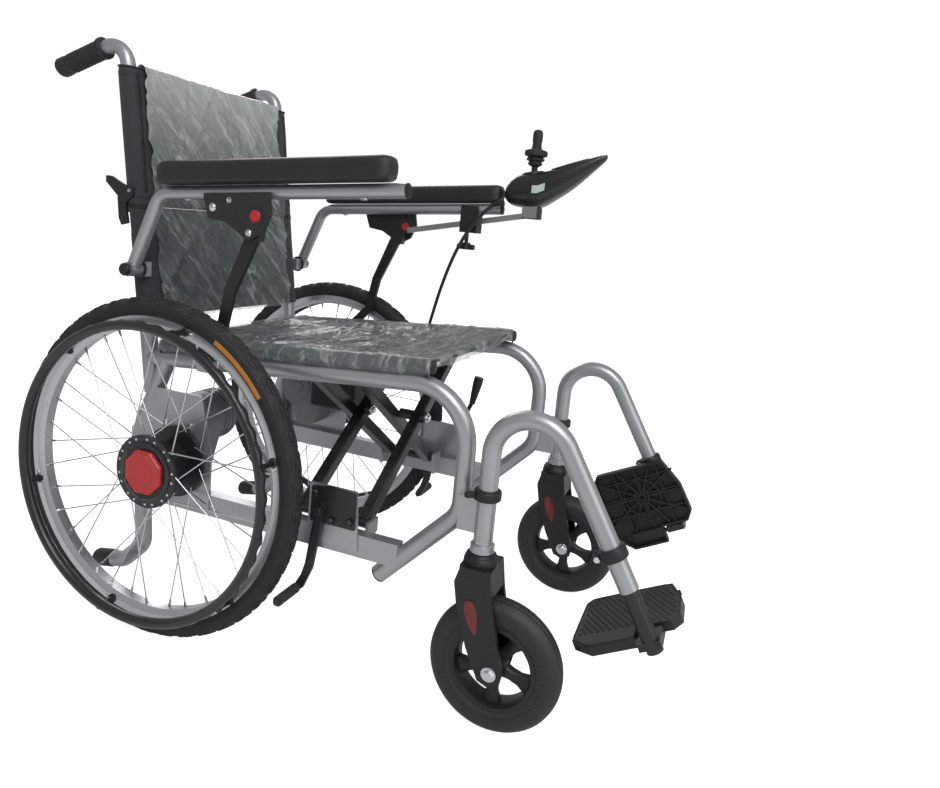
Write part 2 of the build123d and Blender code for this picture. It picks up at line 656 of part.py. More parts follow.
def cross_brace(side):
    """Scissor half: two arms from its pivot tube up to the seat rail of the other side."""
    foot_x = side * FOLD_PIVOT_X
    span = pivot_span(side)
    body = bar_between(place(foot_x, span[0], FOLD_PIVOT_Z), place(foot_x, span[1], FOLD_PIVOT_Z), 9)
    cavities = []
    for f in BRACE_ARMS[side]:
        seat_z = rail_z(f) + SEAT_TUBE_RISE
        a = place(foot_x, f, FOLD_PIVOT_Z)
        b = place(-side * (FRAME_X - 8), f, seat_z + 2)
        plane = Plane(origin=a, x_dir=(0, 1, 0), z_dir=b - a)
        length = (b - a).length
        body += extrude(plane * RectangleRounded(ARM_W, ARM_H, 3), amount=length)
        inner = Plane(origin=a + (b - a).normalized() * 16, x_dir=(0, 1, 0), z_dir=b - a)
        cavities.append(extrude(inner * RectangleRounded(ARM_W - 4, ARM_H - 4, 1.5), amount=length - 40))
        # The arm ends on the seat rail.
        rail0 = place(-side * FRAME_X, f - 40, rail_z(f - 40) + SEAT_TUBE_RISE)
        rail1 = place(-side * FRAME_X, f + 40, rail_z(f + 40) + SEAT_TUBE_RISE)
        body -= bar_between(rail0, rail1, SEAT_RAIL_R)
    for cavity in cavities:
        body -= cavity
    # Nothing stands above the seat rails.
    top = SEAT_TUBE_RISE + SEAT_RAIL_R
    above = [(100, rail_z(100) + top), (450, rail_z(450) + top), (450, 620), (100, 620)]
    body -= plate_x(-300, 300, above)
    # Centre bolts face the other half's arms across a small gap.
    for mine, other in zip(BRACE_ARMS[side], BRACE_ARMS[-side]):
        centre_z = (FOLD_PIVOT_Z + rail_z(mine) + SEAT_TUBE_RISE) / 2 + 2
        away = 1 if mine > other else -1
        outer_f = mine + away * ARM_W / 2
        head = (place(0, outer_f - away, centre_z), place(0, outer_f + away * 7, centre_z))
        body += bar_between(*head, 11)
        gap = abs(mine - other) - ARM_W - 2
        if side < 0 and gap > 4:
            inner_f = mine - away * ARM_W / 2
            spacer = (place(0, inner_f + away, centre_z), place(0, inner_f - away * gap, centre_z))
            body += bar_between(*spacer, 9)
    return body - bar_between(
        place(foot_x, span[0] - 1, FOLD_PIVOT_Z), place(foot_x, span[1] + 1, FOLD_PIVOT_Z), 5 + RUN_FIT
    )


def seat_sling():
    """Seat cloth stretched over the two seat rails."""
    half = FRAME_X + SEAT_RAIL_R + 4
    low = SEAT_TUBE_RISE + SEAT_RAIL_R + FREE
    rear, front = SEAT_REAR, SEAT_FRONT
    top = low + SEAT_CLOTH
    outline = [
        (rear, rail_z(rear) + low),
        (front, rail_z(front) + low),
        (front, rail_z(front) + top),
        (rear, rail_z(rear) + top),
    ]
    return plate_x(-half, half, outline)


def back_sling():
    """Back cloth stretched across the two back posts."""
    half = FRAME_X + TUBE_R / 2
    gap = TUBE_R * POST_RATE + FREE
    low, high = 512.0, BACK_TOP_Z
    front = gap + BACK_CLOTH
    outline = [
        (post_fwd(low) + gap, low),
        (post_fwd(low) + front, low),
        (post_fwd(high) + front, high),
        (post_fwd(high) + gap, high),
    ]
    return plate_x(-half, half, outline)


BOX_X = (62.0, 186.0)
BOX_FWD = (72.0, 172.0)
BOX_Z = (330.0, 424.0)


def controller_box():
    """Battery and motor controller case, hung from the left seat rail."""
    body = fillet(block(*BOX_X, *BOX_FWD, *BOX_Z).edges(), 6)
    for f in (88, 148):
        body += block(BOX_X[1] - 4, FRAME_X - TUBE_R - 0.1, f, f + 14, BOX_Z[1] - 30, rail_z(f))
    end = place(*CABLE_POINTS[-1])
    inward = (end - place(*CABLE_POINTS[-2])).normalized()
    body += bar_between(end, end + inward * 24, 7)
    return body - swept(route(FRAME_X, [(40, rail_z(40)), (220, rail_z(220))], []), TUBE_R)


# ---------------------------------------------------------------- joystick controller
STICK_AT = (437.0, 800.0)
BAR_ENDS = ((175.0, 695.0), (438.0, 749.0))
BAR_HALF = 5.5
CLAMP_FWD = (297.0, 334.0)
KNOB_FWD = 309.0
POD_X = 250.0
POD_HALF = 35.0
TILT_ROOM = 19.0
TRUNNION_R = 1.5
GIMBAL_REACH = 22.0        # half length over the gimbal's side pins


def bar_height(fwd):
    """Height of the slide bar's centre line."""
    (f0, z0), (f1, z1) = BAR_ENDS
    return z0 + (z1 - z0) * (fwd - f0) / (f1 - f0)


def bar_solid(half, f0, f1):
    """Square bar along the slide bar's line."""
    (rear_f, rear_z), (front_f, front_z) = BAR_ENDS
    c = half / math.cos(math.atan2(front_z - rear_z, front_f - rear_f))
    outline = [
        (f0, bar_height(f0) - c),
        (f1, bar_height(f1) - c),
        (f1, bar_height(f1) + c),
        (f0, bar_height(f0) + c),
    ]
    return plate_x(ARM_X - half, ARM_X + half, outline)


def joystick_bar():
    """Steel bar that sets how far forward the joystick stands, with its head block."""
    head = block(ARM_X - 14, ARM_X + 14, 426, 456, 744, 775 - FREE)
    return bar_solid(BAR_HALF, BAR_ENDS[0][0], 442) + head


def joystick_clamp():
    """Clamp block under the arm tube with a square way for the bar."""
    f0, f1 = CLAMP_FWD
    body = block(ARM_X - 16, ARM_X + 16, f0, f1, 703, 758)
    tube = [(f, arm_z(f)) for f in (f0 - 30, f1 + 30)]
    body -= swept(route(ARM_X, tube, []), ARM_TUBE_R)
    body -= bar_solid(BAR_HALF + RUN_FIT, f0 - 20, f1 + 20)
    return body - upright(ARM_X, KNOB_FWD, 690, 730, 4 + RUN_FIT)


def clamp_knob():
    """Thumb screw that locks the slide bar."""
    top = bar_height(KNOB_FWD) - BAR_HALF - 2
    body = upright(ARM_X, KNOB_FWD, 672, top, 4) + upright(ARM_X, KNOB_FWD, 668, 682, 9)
    wing = block(ARM_X - 6, ARM_X + 6, KNOB_FWD - 19, KNOB_FWD + 19, 668, 679)
    return body + fillet(wing.edges(), 3)


def joystick_pod():
    """Controller case: round at the rear, drawn out to a raised nose."""
    profile = [
        (385, 760), (400, 775), (456, 775), (520, 812), (578, 866),
        (580, 876), (566, 874), (437, 826), (396, 806), (385, 796),
    ]
    body = plate_x(POD_X - POD_HALF, POD_X + POD_HALF, profile)
    plan = [(385, 24), (392, 31), (410, 35), (450, 35), (500, 29), (545, 18), (582, 7)]
    left = [place(POD_X - w, f, 0) for f, w in plan]
    right = [place(POD_X + w, f, 0) for f, w in reversed(plan)]
    body &= extrude(make_face(Polyline(*left, *right, close=True)), amount=1000, dir=(0, 0, 1))
    body -= upright(POD_X, STICK_AT[0], 784, 884, TILT_ROOM)
    body -= bar_x(POD_X - GIMBAL_REACH - 0.5, POD_X + GIMBAL_REACH + 0.5, *STICK_AT, TRUNNION_R + RUN_FIT)
    body -= power_button(RUN_FIT, 4)
    gland = place(*CABLE_POINTS[0])
    outward = (place(*CABLE_POINTS[1]) - gland).normalized()
    return body + bar_between(gland, gland - outward * 18, 5.5)


def power_button(grow=0.0, sink=0.0):
    """On-off button in the case's top."""
    at = place(POD_X, 492, 846.5)
    up = Vector(0, 0.34, 1).normalized()
    return bar_between(at - up * (6 + sink), at + up * (3 + sink), 7 + grow)


def joystick_gimbal():
    """Ring that lets the stick lean sideways as well as forward."""
    f, z = STICK_AT
    ring = Pos(place(POD_X, f, z)) * (Cylinder(15.5, 6) - Cylinder(9.2, 6))
    for sign in (-1, 1):
        ring += bar_x(POD_X + sign * 14, POD_X + sign * GIMBAL_REACH, f, z, TRUNNION_R)
    return ring - bar_between(place(POD_X, f - 13, z), place(POD_X, f + 13, z), TRUNNION_R + RUN_FIT)


def joystick_stick():
    """Stick with its ball, rubber boot and ribbed knob."""
    f, z = STICK_AT
    body = Pos(place(POD_X, f, z)) * Sphere(8)
    body += upright(POD_X, f, z, z + 60, 4)
    body += bar_between(place(POD_X, f - 12.5, z), place(POD_X, f + 12.5, z), TRUNNION_R)
    body += Solid.make_cone(15, 8, 26, Plane(origin=place(POD_X, f, z + 47), z_dir=(0, 0, 1)))
    for i in range(4):
        body += Pos(place(POD_X, f, z + 76 + 6 * i)) * Cylinder(10 if i % 2 else 8, 6.5)
    return body + Solid.make_cone(10.5, 6.5, 22, Plane(origin=place(POD_X, f, z + 96), z_dir=(0, 0, 1)))


CABLE_POINTS = [
    (220, 384, 768),
    (219, 367, 764),
    (217, 343, 738),
    (217, 318, 704),
    (218, 297, 662),
    (222, 279, 615),
    (227, 264, 568),
    (232, 252, 523),
    (235, 241, 480),
    (232, 226, 446),
    (224, 204, 421),
    (211, 174, 408),
    (195, 142, 402),
]


def joystick_cable():
    """Lead from the joystick case down to the controller case."""
    points = [place(*p) for p in CABLE_POINTS]
    radii = []
    for before, here, after in zip(points, points[1:], points[2:]):
        first, second = here - before, after - here
        turn = math.radians(first.get_angle(second))
        radii.append(0.45 * min(first.length, second.length) / math.tan(turn / 2))
    print("cable radii", [round(r) for r in radii])
    path = FilletPolyline(*points, radius=radii)
    body = swept(path, CABLE_R)
    full = math.pi * CABLE_R**2 * path.length
    print("cable length", round(path.length, 1), "volume ratio", round(body.volume / full, 4))
    return body


# ---------------------------------------------------------------- assembly
NODES = {}
for name, side in (("right", -1), ("left", 1)):
    for piece, build in (
        ("side_frame", side_frame),
        ("upper_back_post", upper_post),
        ("push_grip", push_grip),
        ("back_release_lever", back_lever),
        ("armrest_frame", arm_frame),
        ("armrest_pad", arm_pad),
        ("armrest_bracket", arm_bracket),
        ("armrest_button", arm_button),
        ("rear_tyre", rear_tyre),
        ("rear_rim", rear_rim),
        ("rear_spokes", rear_spokes),
        ("rear_hub", rear_hub),
        ("hand_rim", hand_rim),
        ("clutch_knob", clutch_knob),
        ("drive_motor", drive_motor),
        ("caster_fork", caster_fork),
        ("caster_wheel", caster_wheel),
        ("legrest_hanger", hanger),
        ("footrest_tube", footrest_tube),
        ("footplate", footplate),
        ("brake_bracket", brake_bracket),
        ("brake_shoe", brake_shoe),
        ("seat_rail", seat_rail),
        ("cross_brace", cross_brace),
    ):
        NODES[f"{name}_{piece}"] = build(side)
NODES["left_brake_lever"] = brake_lever(1)
for piece, build in (
    ("seat_sling", seat_sling),
    ("back_sling", back_sling),
    ("controller_box", controller_box),
    ("joystick_pod", joystick_pod),
    ("joystick_stick", joystick_stick),
    ("joystick_gimbal", joystick_gimbal),
    ("joystick_power_button", power_button),
    ("joystick_bar", joystick_bar),
    ("joystick_clamp", joystick_clamp),
    ("joystick_clamp_knob", clamp_knob),
    ("joystick_cable", joystick_cable),
):
    NODES[piece] = build()


def solids_of(piece):
    """Every solid of a piece, whether it was built as one shape or as a list."""
    shapes = piece if isinstance(piece, (list, tuple)) else [piece]
    return [solid for shape in shapes for solid in shape.solids()]


# The origin is the middle of the whole chair's footprint, on the ground.
extent = Compound([s for piece in NODES.values() for s in solids_of(piece)]).bounding_box()
AXLE_Y = -(extent.min.Y + extent.max.Y) / 2
print("AXLE_Y", round(AXLE_Y, 3), "size", [round(v, 2) for v in extent.size])
print("low", [round(v, 3) for v in extent.min], "high", [round(v, 3) for v in extent.max])

for name, piece in NODES.items():
    moved = [s.moved(Location((0, AXLE_Y, 0))) for s in solids_of(piece)]
    shape = moved[0] if len(moved) == 1 else Compound(children=moved)
    export_step(shape, f"parts/{name}.step")
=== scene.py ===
from math import copysign, cos, exp, pi, radians, sin, sqrt

import bmesh
import bpy
from mathutils import Matrix, Vector, noise


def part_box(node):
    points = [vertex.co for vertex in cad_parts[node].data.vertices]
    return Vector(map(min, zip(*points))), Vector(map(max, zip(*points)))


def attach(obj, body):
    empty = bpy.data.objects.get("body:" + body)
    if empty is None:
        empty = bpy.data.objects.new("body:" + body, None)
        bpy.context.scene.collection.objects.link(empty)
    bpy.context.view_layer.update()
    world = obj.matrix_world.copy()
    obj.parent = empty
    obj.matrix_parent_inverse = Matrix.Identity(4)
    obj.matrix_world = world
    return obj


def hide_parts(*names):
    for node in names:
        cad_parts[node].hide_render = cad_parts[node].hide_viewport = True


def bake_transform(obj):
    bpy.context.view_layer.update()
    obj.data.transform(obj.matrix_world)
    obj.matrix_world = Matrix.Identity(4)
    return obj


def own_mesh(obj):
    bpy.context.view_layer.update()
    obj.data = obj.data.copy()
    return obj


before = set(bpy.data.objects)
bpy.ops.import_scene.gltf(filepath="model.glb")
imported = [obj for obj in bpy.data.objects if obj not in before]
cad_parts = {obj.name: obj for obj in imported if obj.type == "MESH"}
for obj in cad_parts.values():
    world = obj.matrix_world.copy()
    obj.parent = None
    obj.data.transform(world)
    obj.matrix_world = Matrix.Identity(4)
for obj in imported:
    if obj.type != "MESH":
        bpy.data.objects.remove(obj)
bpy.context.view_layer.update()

# ------------------------------------------------------------------ layout, in millimetres
# Points are given as sideways, forward of the rear axle, and up from the ground.
TYRE_LOW, TYRE_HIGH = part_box("right_rear_tyre")
AXLE_Y = (TYRE_LOW.y + TYRE_HIGH.y) / 2
MM = 0.001
SIDES = (("right", -1), ("left", 1))
WHEEL_X = 273.0
WHEEL_R = 280.0
TYRE_CENTRE_R = 261.0
HAND_RIM_X = 313.5
HAND_RIM_R = 239.0
HAND_RIM_TUBE = 8.5
HUB_FACE_X = 291.0
FRAME_X = 205.0
RAIL_R = 10.0
RAIL_RISE = 24.3           # seat rail above the frame's rail
RAIL_SLOPE = 0.0779
POST_SLOPE = 0.1447
ARM_SLOPE = 0.0819
ARM_PIVOT = (-88.0, 595.0)
MOTOR_AXIS = (3.0, 345.0)
INNER_FLANGE_X, OUTER_FLANGE_X = 228.5, 288.5
FLANGE_HALF = 2.5
FLANGE_HOLES_R = 54.0      # circle of the spoke heads
HUB_BOLTS_R = 45.2
KNOB_BASE_X = 291.35
NIPPLES_R = 233.0
LEG_FWD, LEG_DOWN = 0.506, 0.8625      # direction of the legrest's lower tube
STEM = (226.0, 553.0)
CASTER_AXLE = (590.0, 100.0)
ARM_X = 243.0
PLATE_TILT = radians(28.0)
PLATE_HEEL = (199.0, 690.0, 147.0)
PIN_DEPTH = 8.0
STICK_PIVOT = (250.0, 437.0, 800.0)


def at(x, fwd, z):
    """A point of the chair in the model's frame, in metres."""
    return Vector((x * MM, AXLE_Y - fwd * MM, z * MM))


def rail_z(fwd):
    """Height of the seat rail's centre line."""
    return 462.0 + RAIL_SLOPE * (fwd - 158.0)


def post_fwd(z):
    """Forward place of the back post's centre line."""
    return -72.0 - POST_SLOPE * (z - 384.0)


def arm_z(fwd):
    """Height of the armrest tube's centre line."""
    return 722.3 + ARM_SLOPE * (fwd + 36.0)


def smooth(t):
    """Ease from 0 to 1."""
    t = max(0.0, min(1.0, t))
    return t * t * (3 - 2 * t)


def wander(x, y, z):
    """Smooth noise between about -1 and 1, fixed by its place."""
    return noise.noise(Vector((x, y, z)))


def along_line(points, value):
    """Straight interpolation in a list of (key, result) pairs."""
    for (k0, r0), (k1, r1) in zip(points, points[1:]):
        if value <= k1:
            return r0 + (r1 - r0) * max(0.0, (value - k0) / (k1 - k0))
    return points[-1][1]


# ------------------------------------------------------------------ shared shader groups
def new_group(name, inputs, outputs):
    """An empty shader group with named sockets."""
    group = bpy.data.node_groups.new(name, "ShaderNodeTree")
    for label, kind, value in inputs:
        socket = group.interface.new_socket(label, in_out="INPUT", socket_type=kind)
        socket.default_value = value
    for label, kind in outputs:
        group.interface.new_socket(label, in_out="OUTPUT", socket_type=kind)
    source = group.nodes.new("NodeGroupInput")
    sink = group.nodes.new("NodeGroupOutput")
    return group, source, sink


def add(tree, kind, values=(), links=(), **props):
    """A node with its properties, socket values and incoming links."""
    node = tree.nodes.new(kind)
    for key, value in props.items():
        setattr(node, key, value)
    for key, value in dict(values).items():
        node.inputs[key].default_value = value
    for key, socket in dict(links).items():
        tree.links.new(socket, node.inputs[key])
    return node


def ramp(tree, factor, low, high, low_color=(0, 0, 0, 1), high_color=(1, 1, 1, 1)):
    """A two-stop ramp between two places."""
    node = add(tree, "ShaderNodeValToRGB", links={"Fac": factor})
    stops = node.color_ramp.elements
    stops[0].position, stops[0].color = low, low_color
    stops[1].position, stops[1].color = high, high_color
    return node.outputs["Color"]


def maths(tree, operation, first, second):
    """A sum of two sockets or numbers."""
    node = add(tree, "ShaderNodeMath", operation=operation)
    for slot, value in zip(node.inputs, (first, second)):
        if isinstance(value, (int, float)):
            slot.default_value = value
        else:
            tree.links.new(value, slot)
    return node.outputs["Value"]


def mixed(tree, factor, first, second):
    """A colour mix; each input is a socket or a colour."""
    node = add(tree, "ShaderNodeMix", data_type="RGBA")
    for slot, value in ((node.inputs["Factor"], factor), (node.inputs[6], first), (node.inputs[7], second)):
        if isinstance(value, bpy.types.NodeSocket):
            tree.links.new(value, slot)
        else:
            slot.default_value = value
    return node.outputs[2]


COLOR, FLOAT, VECTOR = "NodeSocketColor", "NodeSocketFloat", "NodeSocketVector"


def make_wear_group():
    """Rubbed edges and settled dust, from the shape of the surface and noise."""
    group, source, sink = new_group(
        "rubbed_edges_and_dust",
        [
            ("Color", COLOR, (0.5, 0.5, 0.5, 1)),
            ("Worn Color", COLOR, (0.8, 0.8, 0.8, 1)),
            ("Wear", FLOAT, 0.3),
            ("Dust Color", COLOR, (0.45, 0.42, 0.38, 1)),
            ("Dust", FLOAT, 0.1),
            ("Patch Scale", FLOAT, 14.0),
            ("Roughness", FLOAT, 0.4),
            ("Roughness Spread", FLOAT, 0.1),
        ],
        [("Color", COLOR), ("Roughness", FLOAT)],
    )
    ins = source.outputs
    coord = add(group, "ShaderNodeTexCoord")
    patch = add(
        group,
        "ShaderNodeTexNoise",
        {"Detail": 5.0, "Roughness": 0.62},
        {"Vector": coord.outputs["Object"], "Scale": ins["Patch Scale"]},
    )
    fine = add(
        group, "ShaderNodeTexNoise", {"Scale": 260.0, "Detail": 3.0}, {"Vector": coord.outputs["Object"]},
    )
    shape = add(group, "ShaderNodeNewGeometry")
    edge = ramp(group, shape.outputs["Pointiness"], 0.54, 0.66)
    broken = ramp(group, fine.outputs["Fac"], 0.42, 0.6)
    worn = maths(group, "MULTIPLY", maths(group, "MULTIPLY", edge, broken), ins["Wear"])
    up = add(group, "ShaderNodeSeparateXYZ", links={"Vector": shape.outputs["Normal"]})
    faces_up = ramp(group, up.outputs["Z"], 0.15, 0.95)
    settled = maths(group, "MULTIPLY", faces_up, ramp(group, patch.outputs["Fac"], 0.38, 0.68))
    dusty = maths(group, "MULTIPLY", settled, ins["Dust"])
    toned = add(group, "ShaderNodeHueSaturation", links={"Color": ins["Color"]})
    group.links.new(
        maths(group, "ADD", maths(group, "MULTIPLY", patch.outputs["Fac"], 0.3), 0.85), toned.inputs["Value"],
    )
    color = mixed(group, worn, toned.outputs["Color"], ins["Worn Color"])
    color = mixed(group, dusty, color, ins["Dust Color"])
    group.links.new(color, sink.inputs["Color"])
    spread = maths(
        group, "MULTIPLY", maths(group, "SUBTRACT", patch.outputs["Fac"], 0.5), ins["Roughness Spread"],
    )
    rough = maths(
        group, "ADD", maths(group, "ADD", ins["Roughness"], spread), maths(group, "MULTIPLY", dusty, 0.5),
    )
    group.links.new(rough, sink.inputs["Roughness"])
    return group


def make_grain_group():
    """Moulded grain as a bumped normal."""
    group, source, sink = new_group(
        "moulded_grain",
        [("Scale", FLOAT, 500.0), ("Depth", FLOAT, 0.1), ("Pebble", FLOAT, 0.0)],
        [("Normal", VECTOR)],
    )
    coord = add(group, "ShaderNodeTexCoord")
    fine = add(
        group, "ShaderNodeTexNoise", {"Detail": 4.0, "Roughness": 0.6},
        {"Vector": coord.outputs["Object"], "Scale": source.outputs["Scale"]},
    )
    pebble = add(
        group, "ShaderNodeTexVoronoi", {},
        {"Vector": coord.outputs["Object"], "Scale": source.outputs["Scale"]}, feature="DISTANCE_TO_EDGE",
    )
    cells = ramp(group, pebble.outputs["Distance"], 0.0, 0.3)
    height = mixed(group, source.outputs["Pebble"], fine.outputs["Fac"], cells)
    bump = add(
        group, "ShaderNodeBump", {"Distance": 0.0006},
        {"Height": height, "Strength": source.outputs["Depth"]},
    )
    group.links.new(bump.outputs["Normal"], sink.inputs["Normal"])
    return group


def make_weave_group():
    """Plain weave: crossing threads as a normal and a mask."""
    group, source, sink = new_group(
        "plain_weave",
        [("Thread Scale", FLOAT, 900.0), ("Depth", FLOAT, 0.4)],
        [("Normal", VECTOR), ("Thread", FLOAT)],
    )
    coord = add(group, "ShaderNodeTexCoord")
    waves = []
    for direction in ("X", "Z"):
        tilted = add(
            group, "ShaderNodeMapping", {"Rotation": (0.6, 0.0, 0.25)}, {"Vector": coord.outputs["Object"]},
        )
        wave = add(
            group, "ShaderNodeTexWave", {"Distortion": 0.4},
            {"Vector": tilted.outputs["Vector"], "Scale": source.outputs["Thread Scale"]},
            bands_direction=direction,
        )
        waves.append(wave.outputs["Fac"])
    thread = maths(group, "MULTIPLY", waves[0], waves[1])
    bump = add(
        group, "ShaderNodeBump", {"Distance": 0.0004},
        {"Height": thread, "Strength": source.outputs["Depth"]},
    )
    group.links.new(bump.outputs["Normal"], sink.inputs["Normal"])
    group.links.new(thread, sink.inputs["Thread"])
    return group


def make_crease_group():
    """Sharp creases of thin film, as a mask of pale streaks and a normal."""
    group, source, sink = new_group(
        "film_creases",
        [("Stretch", VECTOR, (1.0, 1.0, 1.0)), ("Scale", FLOAT, 14.0), ("Depth", FLOAT, 0.5)],
        [("Normal", VECTOR), ("Streak", FLOAT)],
    )
    coord = add(group, "ShaderNodeTexCoord")
    leaned = add(
        group, "ShaderNodeMapping", {"Rotation": (0.0, 0.7, 0.1)}, {"Vector": coord.outputs["Object"]},
    )
    pulled = add(
        group, "ShaderNodeMapping",
        links={"Vector": leaned.outputs["Vector"], "Scale": source.outputs["Stretch"]},
    )
    ridges = []
    for factor, detail in ((1.0, 6.0), (2.7, 4.0)):
        lines = add(
            group, "ShaderNodeTexNoise", {"Detail": detail, "Roughness": 0.5, "Distortion": 0.25},
            {
                "Vector": pulled.outputs["Vector"],
                "Scale": maths(group, "MULTIPLY", source.outputs["Scale"], factor),
            },
        )
        centred = maths(group, "ABSOLUTE", maths(group, "SUBTRACT", lines.outputs["Fac"], 0.5), 0.0)
        ridges.append(ramp(group, centred, 0.0, 0.04, (1, 1, 1, 1), (0, 0, 0, 1)))
    streak = maths(
        group, "ADD", maths(group, "MULTIPLY", ridges[0], 0.5), maths(group, "MULTIPLY", ridges[1], 0.3),
    )
    bump = add(
        group, "ShaderNodeBump", {"Distance": 0.003}, {"Height": streak, "Strength": source.outputs["Depth"]},
    )
    group.links.new(bump.outputs["Normal"], sink.inputs["Normal"])
    group.links.new(streak, sink.inputs["Streak"])
    return group


WEAR = make_wear_group()
GRAIN = make_grain_group()
WEAVE = make_weave_group()
CREASE = make_crease_group()


# ------------------------------------------------------------------ finishes
def start_finish(name):
    """A material with its Principled shader linked to the output."""
    material = bpy.data.materials.new(name)
    material.use_nodes = True
    tree = material.node_tree
    tree.nodes.clear()
    shader = add(tree, "ShaderNodeBsdfPrincipled")
    output = add(tree, "ShaderNodeOutputMaterial")
    tree.links.new(shader.outputs["BSDF"], output.inputs["Surface"])
    return material, tree, shader


def hard_finish(
    name, color, worn, rough, sockets, wear=0.3, dust=0.08, patch=14.0, grain=(500.0, 0.08, 0.0), spread=0.12
):
    """A hard surface: worn edges, dust and moulded or sprayed grain."""
    material, tree, shader = start_finish(name)
    touched = {
        "Color": (*color, 1), "Worn Color": (*worn, 1), "Wear": wear, "Dust": dust, "Patch Scale": patch,
        "Roughness": rough, "Roughness Spread": spread,
    }
    surface = add(tree, "ShaderNodeGroup", touched, node_tree=WEAR)
    skin = add(tree, "ShaderNodeGroup", zip(("Scale", "Depth", "Pebble"), grain), node_tree=GRAIN)
    tree.links.new(surface.outputs["Color"], shader.inputs["Base Color"])
    tree.links.new(surface.outputs["Roughness"], shader.inputs["Roughness"])
    tree.links.new(skin.outputs["Normal"], shader.inputs["Normal"])
    for key, value in sockets.items():
        shader.inputs[key].default_value = value
    return material


COAT, METAL, COAT_ROUGH = "Coat Weight", "Metallic", "Coat Roughness"
# Each row: colour, worn colour, roughness, other sockets, and what differs from the usual wear and grain.
HARD_FINISHES = {
    "silver_paint": (
        (0.43, 0.445, 0.46), (0.66, 0.66, 0.68), 0.34, {METAL: 0.72, COAT: 0.35, COAT_ROUGH: 0.12},
        {"wear": 0.15, "dust": 0.05, "patch": 9.0, "grain": (1500.0, 0.16, 0.0)},
    ),
    "black_metal": (
        (0.012, 0.012, 0.013), (0.07, 0.07, 0.07), 0.42, {COAT: 0.15},
        {"wear": 0.2, "dust": 0.03, "grain": (900.0, 0.14, 0.0)},
    ),
    "brace_metal": (
        (0.014, 0.014, 0.015), (0.12, 0.11, 0.11), 0.36, {COAT: 0.3, COAT_ROUGH: 0.2},
        {"wear": 0.4, "dust": 0.1, "grain": (700.0, 0.12, 0.0)},
    ),
    "black_plastic": (
        (0.011, 0.011, 0.012), (0.04, 0.04, 0.04), 0.42, {},
        {"wear": 0.15, "dust": 0.03, "grain": (1400.0, 0.2, 0.5)},
    ),
    "gloss_plastic": (
        (0.012, 0.012, 0.013), (0.05, 0.05, 0.05), 0.27, {COAT: 0.35, COAT_ROUGH: 0.1},
        {"wear": 0.2, "dust": 0.03, "grain": (1800.0, 0.12, 0.3)},
    ),
    "red_plastic": (
        (0.5, 0.02, 0.018), (0.7, 0.12, 0.1), 0.36, {COAT: 0.25},
        {"wear": 0.2, "dust": 0.06, "grain": (1200.0, 0.12, 0.2)},
    ),
    "dark_red": ((0.16, 0.012, 0.012), (0.3, 0.05, 0.04), 0.3, {COAT: 0.3}, {"wear": 0.2, "dust": 0.05}),
    "grip_rubber": (
        (0.02, 0.02, 0.021), (0.05, 0.05, 0.05), 0.62, {},
        {"wear": 0.2, "dust": 0.06, "grain": (900.0, 0.5, 0.7)},
    ),
    "tyre_rubber": (
        (0.016, 0.016, 0.017), (0.05, 0.05, 0.048), 0.68, {},
        {"wear": 0.35, "dust": 0.1, "patch": 22.0, "grain": (800.0, 0.35, 0.2)},
    ),
    "caster_rubber": (
        (0.02, 0.02, 0.022), (0.05, 0.05, 0.05), 0.52, {},
        {"wear": 0.25, "dust": 0.08, "patch": 25.0, "grain": (700.0, 0.25, 0.1)},
    ),
    "alloy_rim": (
        (0.6, 0.61, 0.62), (0.78, 0.78, 0.78), 0.28, {METAL: 0.85},
        {"wear": 0.2, "dust": 0.04, "grain": (1100.0, 0.1, 0.0)},
    ),
    "chrome": (
        (0.72, 0.73, 0.75), (0.85, 0.85, 0.86), 0.16, {METAL: 1.0},
        {"wear": 0.1, "dust": 0.03, "spread": 0.08, "grain": (900.0, 0.04, 0.0)},
    ),
    "steel_bar": (
        (0.52, 0.52, 0.52), (0.7, 0.7, 0.7), 0.3, {METAL: 1.0, "Anisotropic": 0.4},
        {"wear": 0.15, "dust": 0.03, "grain": (1600.0, 0.12, 0.0)},
    ),
    "motor_grey": (
        (0.2, 0.205, 0.215), (0.42, 0.42, 0.42), 0.45, {METAL: 0.35},
        {"wear": 0.35, "dust": 0.14, "grain": (600.0, 0.3, 0.0)},
    ),
    "pad_skin": (
        (0.013, 0.013, 0.0145), (0.03, 0.03, 0.03), 0.38, {COAT: 0.12, COAT_ROUGH: 0.35},
        {"wear": 0.1, "dust": 0.03, "grain": (1000.0, 0.35, 0.85)},
    ),
    "sleeve_vinyl": (
        (0.014, 0.014, 0.015), (0.04, 0.04, 0.04), 0.5, {},
        {"wear": 0.1, "dust": 0.04, "grain": (1300.0, 0.45, 0.8)},
    ),
    "cable_sheath": (
        (0.018, 0.018, 0.019), (0.05, 0.05, 0.05), 0.5, {},
        {"wear": 0.1, "dust": 0.03, "grain": (900.0, 0.15, 0.0)},
    ),
    "tyre_strip": (
        (0.62, 0.23, 0.03), (0.3, 0.12, 0.03), 0.5, {}, {"wear": 0.3, "dust": 0.05, "patch": 120.0},
    ),
    "case_label": (
        (0.5, 0.62, 0.56), (0.7, 0.8, 0.75), 0.4, {COAT: 0.2}, {"wear": 0.1, "dust": 0.02, "patch": 160.0},
    ),
    "panel_grey": (
        (0.045, 0.046, 0.05), (0.1, 0.1, 0.1), 0.4, {},
        {"wear": 0.1, "dust": 0.03, "grain": (1500.0, 0.2, 0.5)},
    ),
    "key_grey": ((0.3, 0.31, 0.32), (0.5, 0.5, 0.5), 0.4, {}, {"wear": 0.1, "dust": 0.02}),
    "lamp_green": ((0.05, 0.3, 0.1), (0.2, 0.5, 0.2), 0.25, {COAT: 0.4}, {"dust": 0.0}),
}
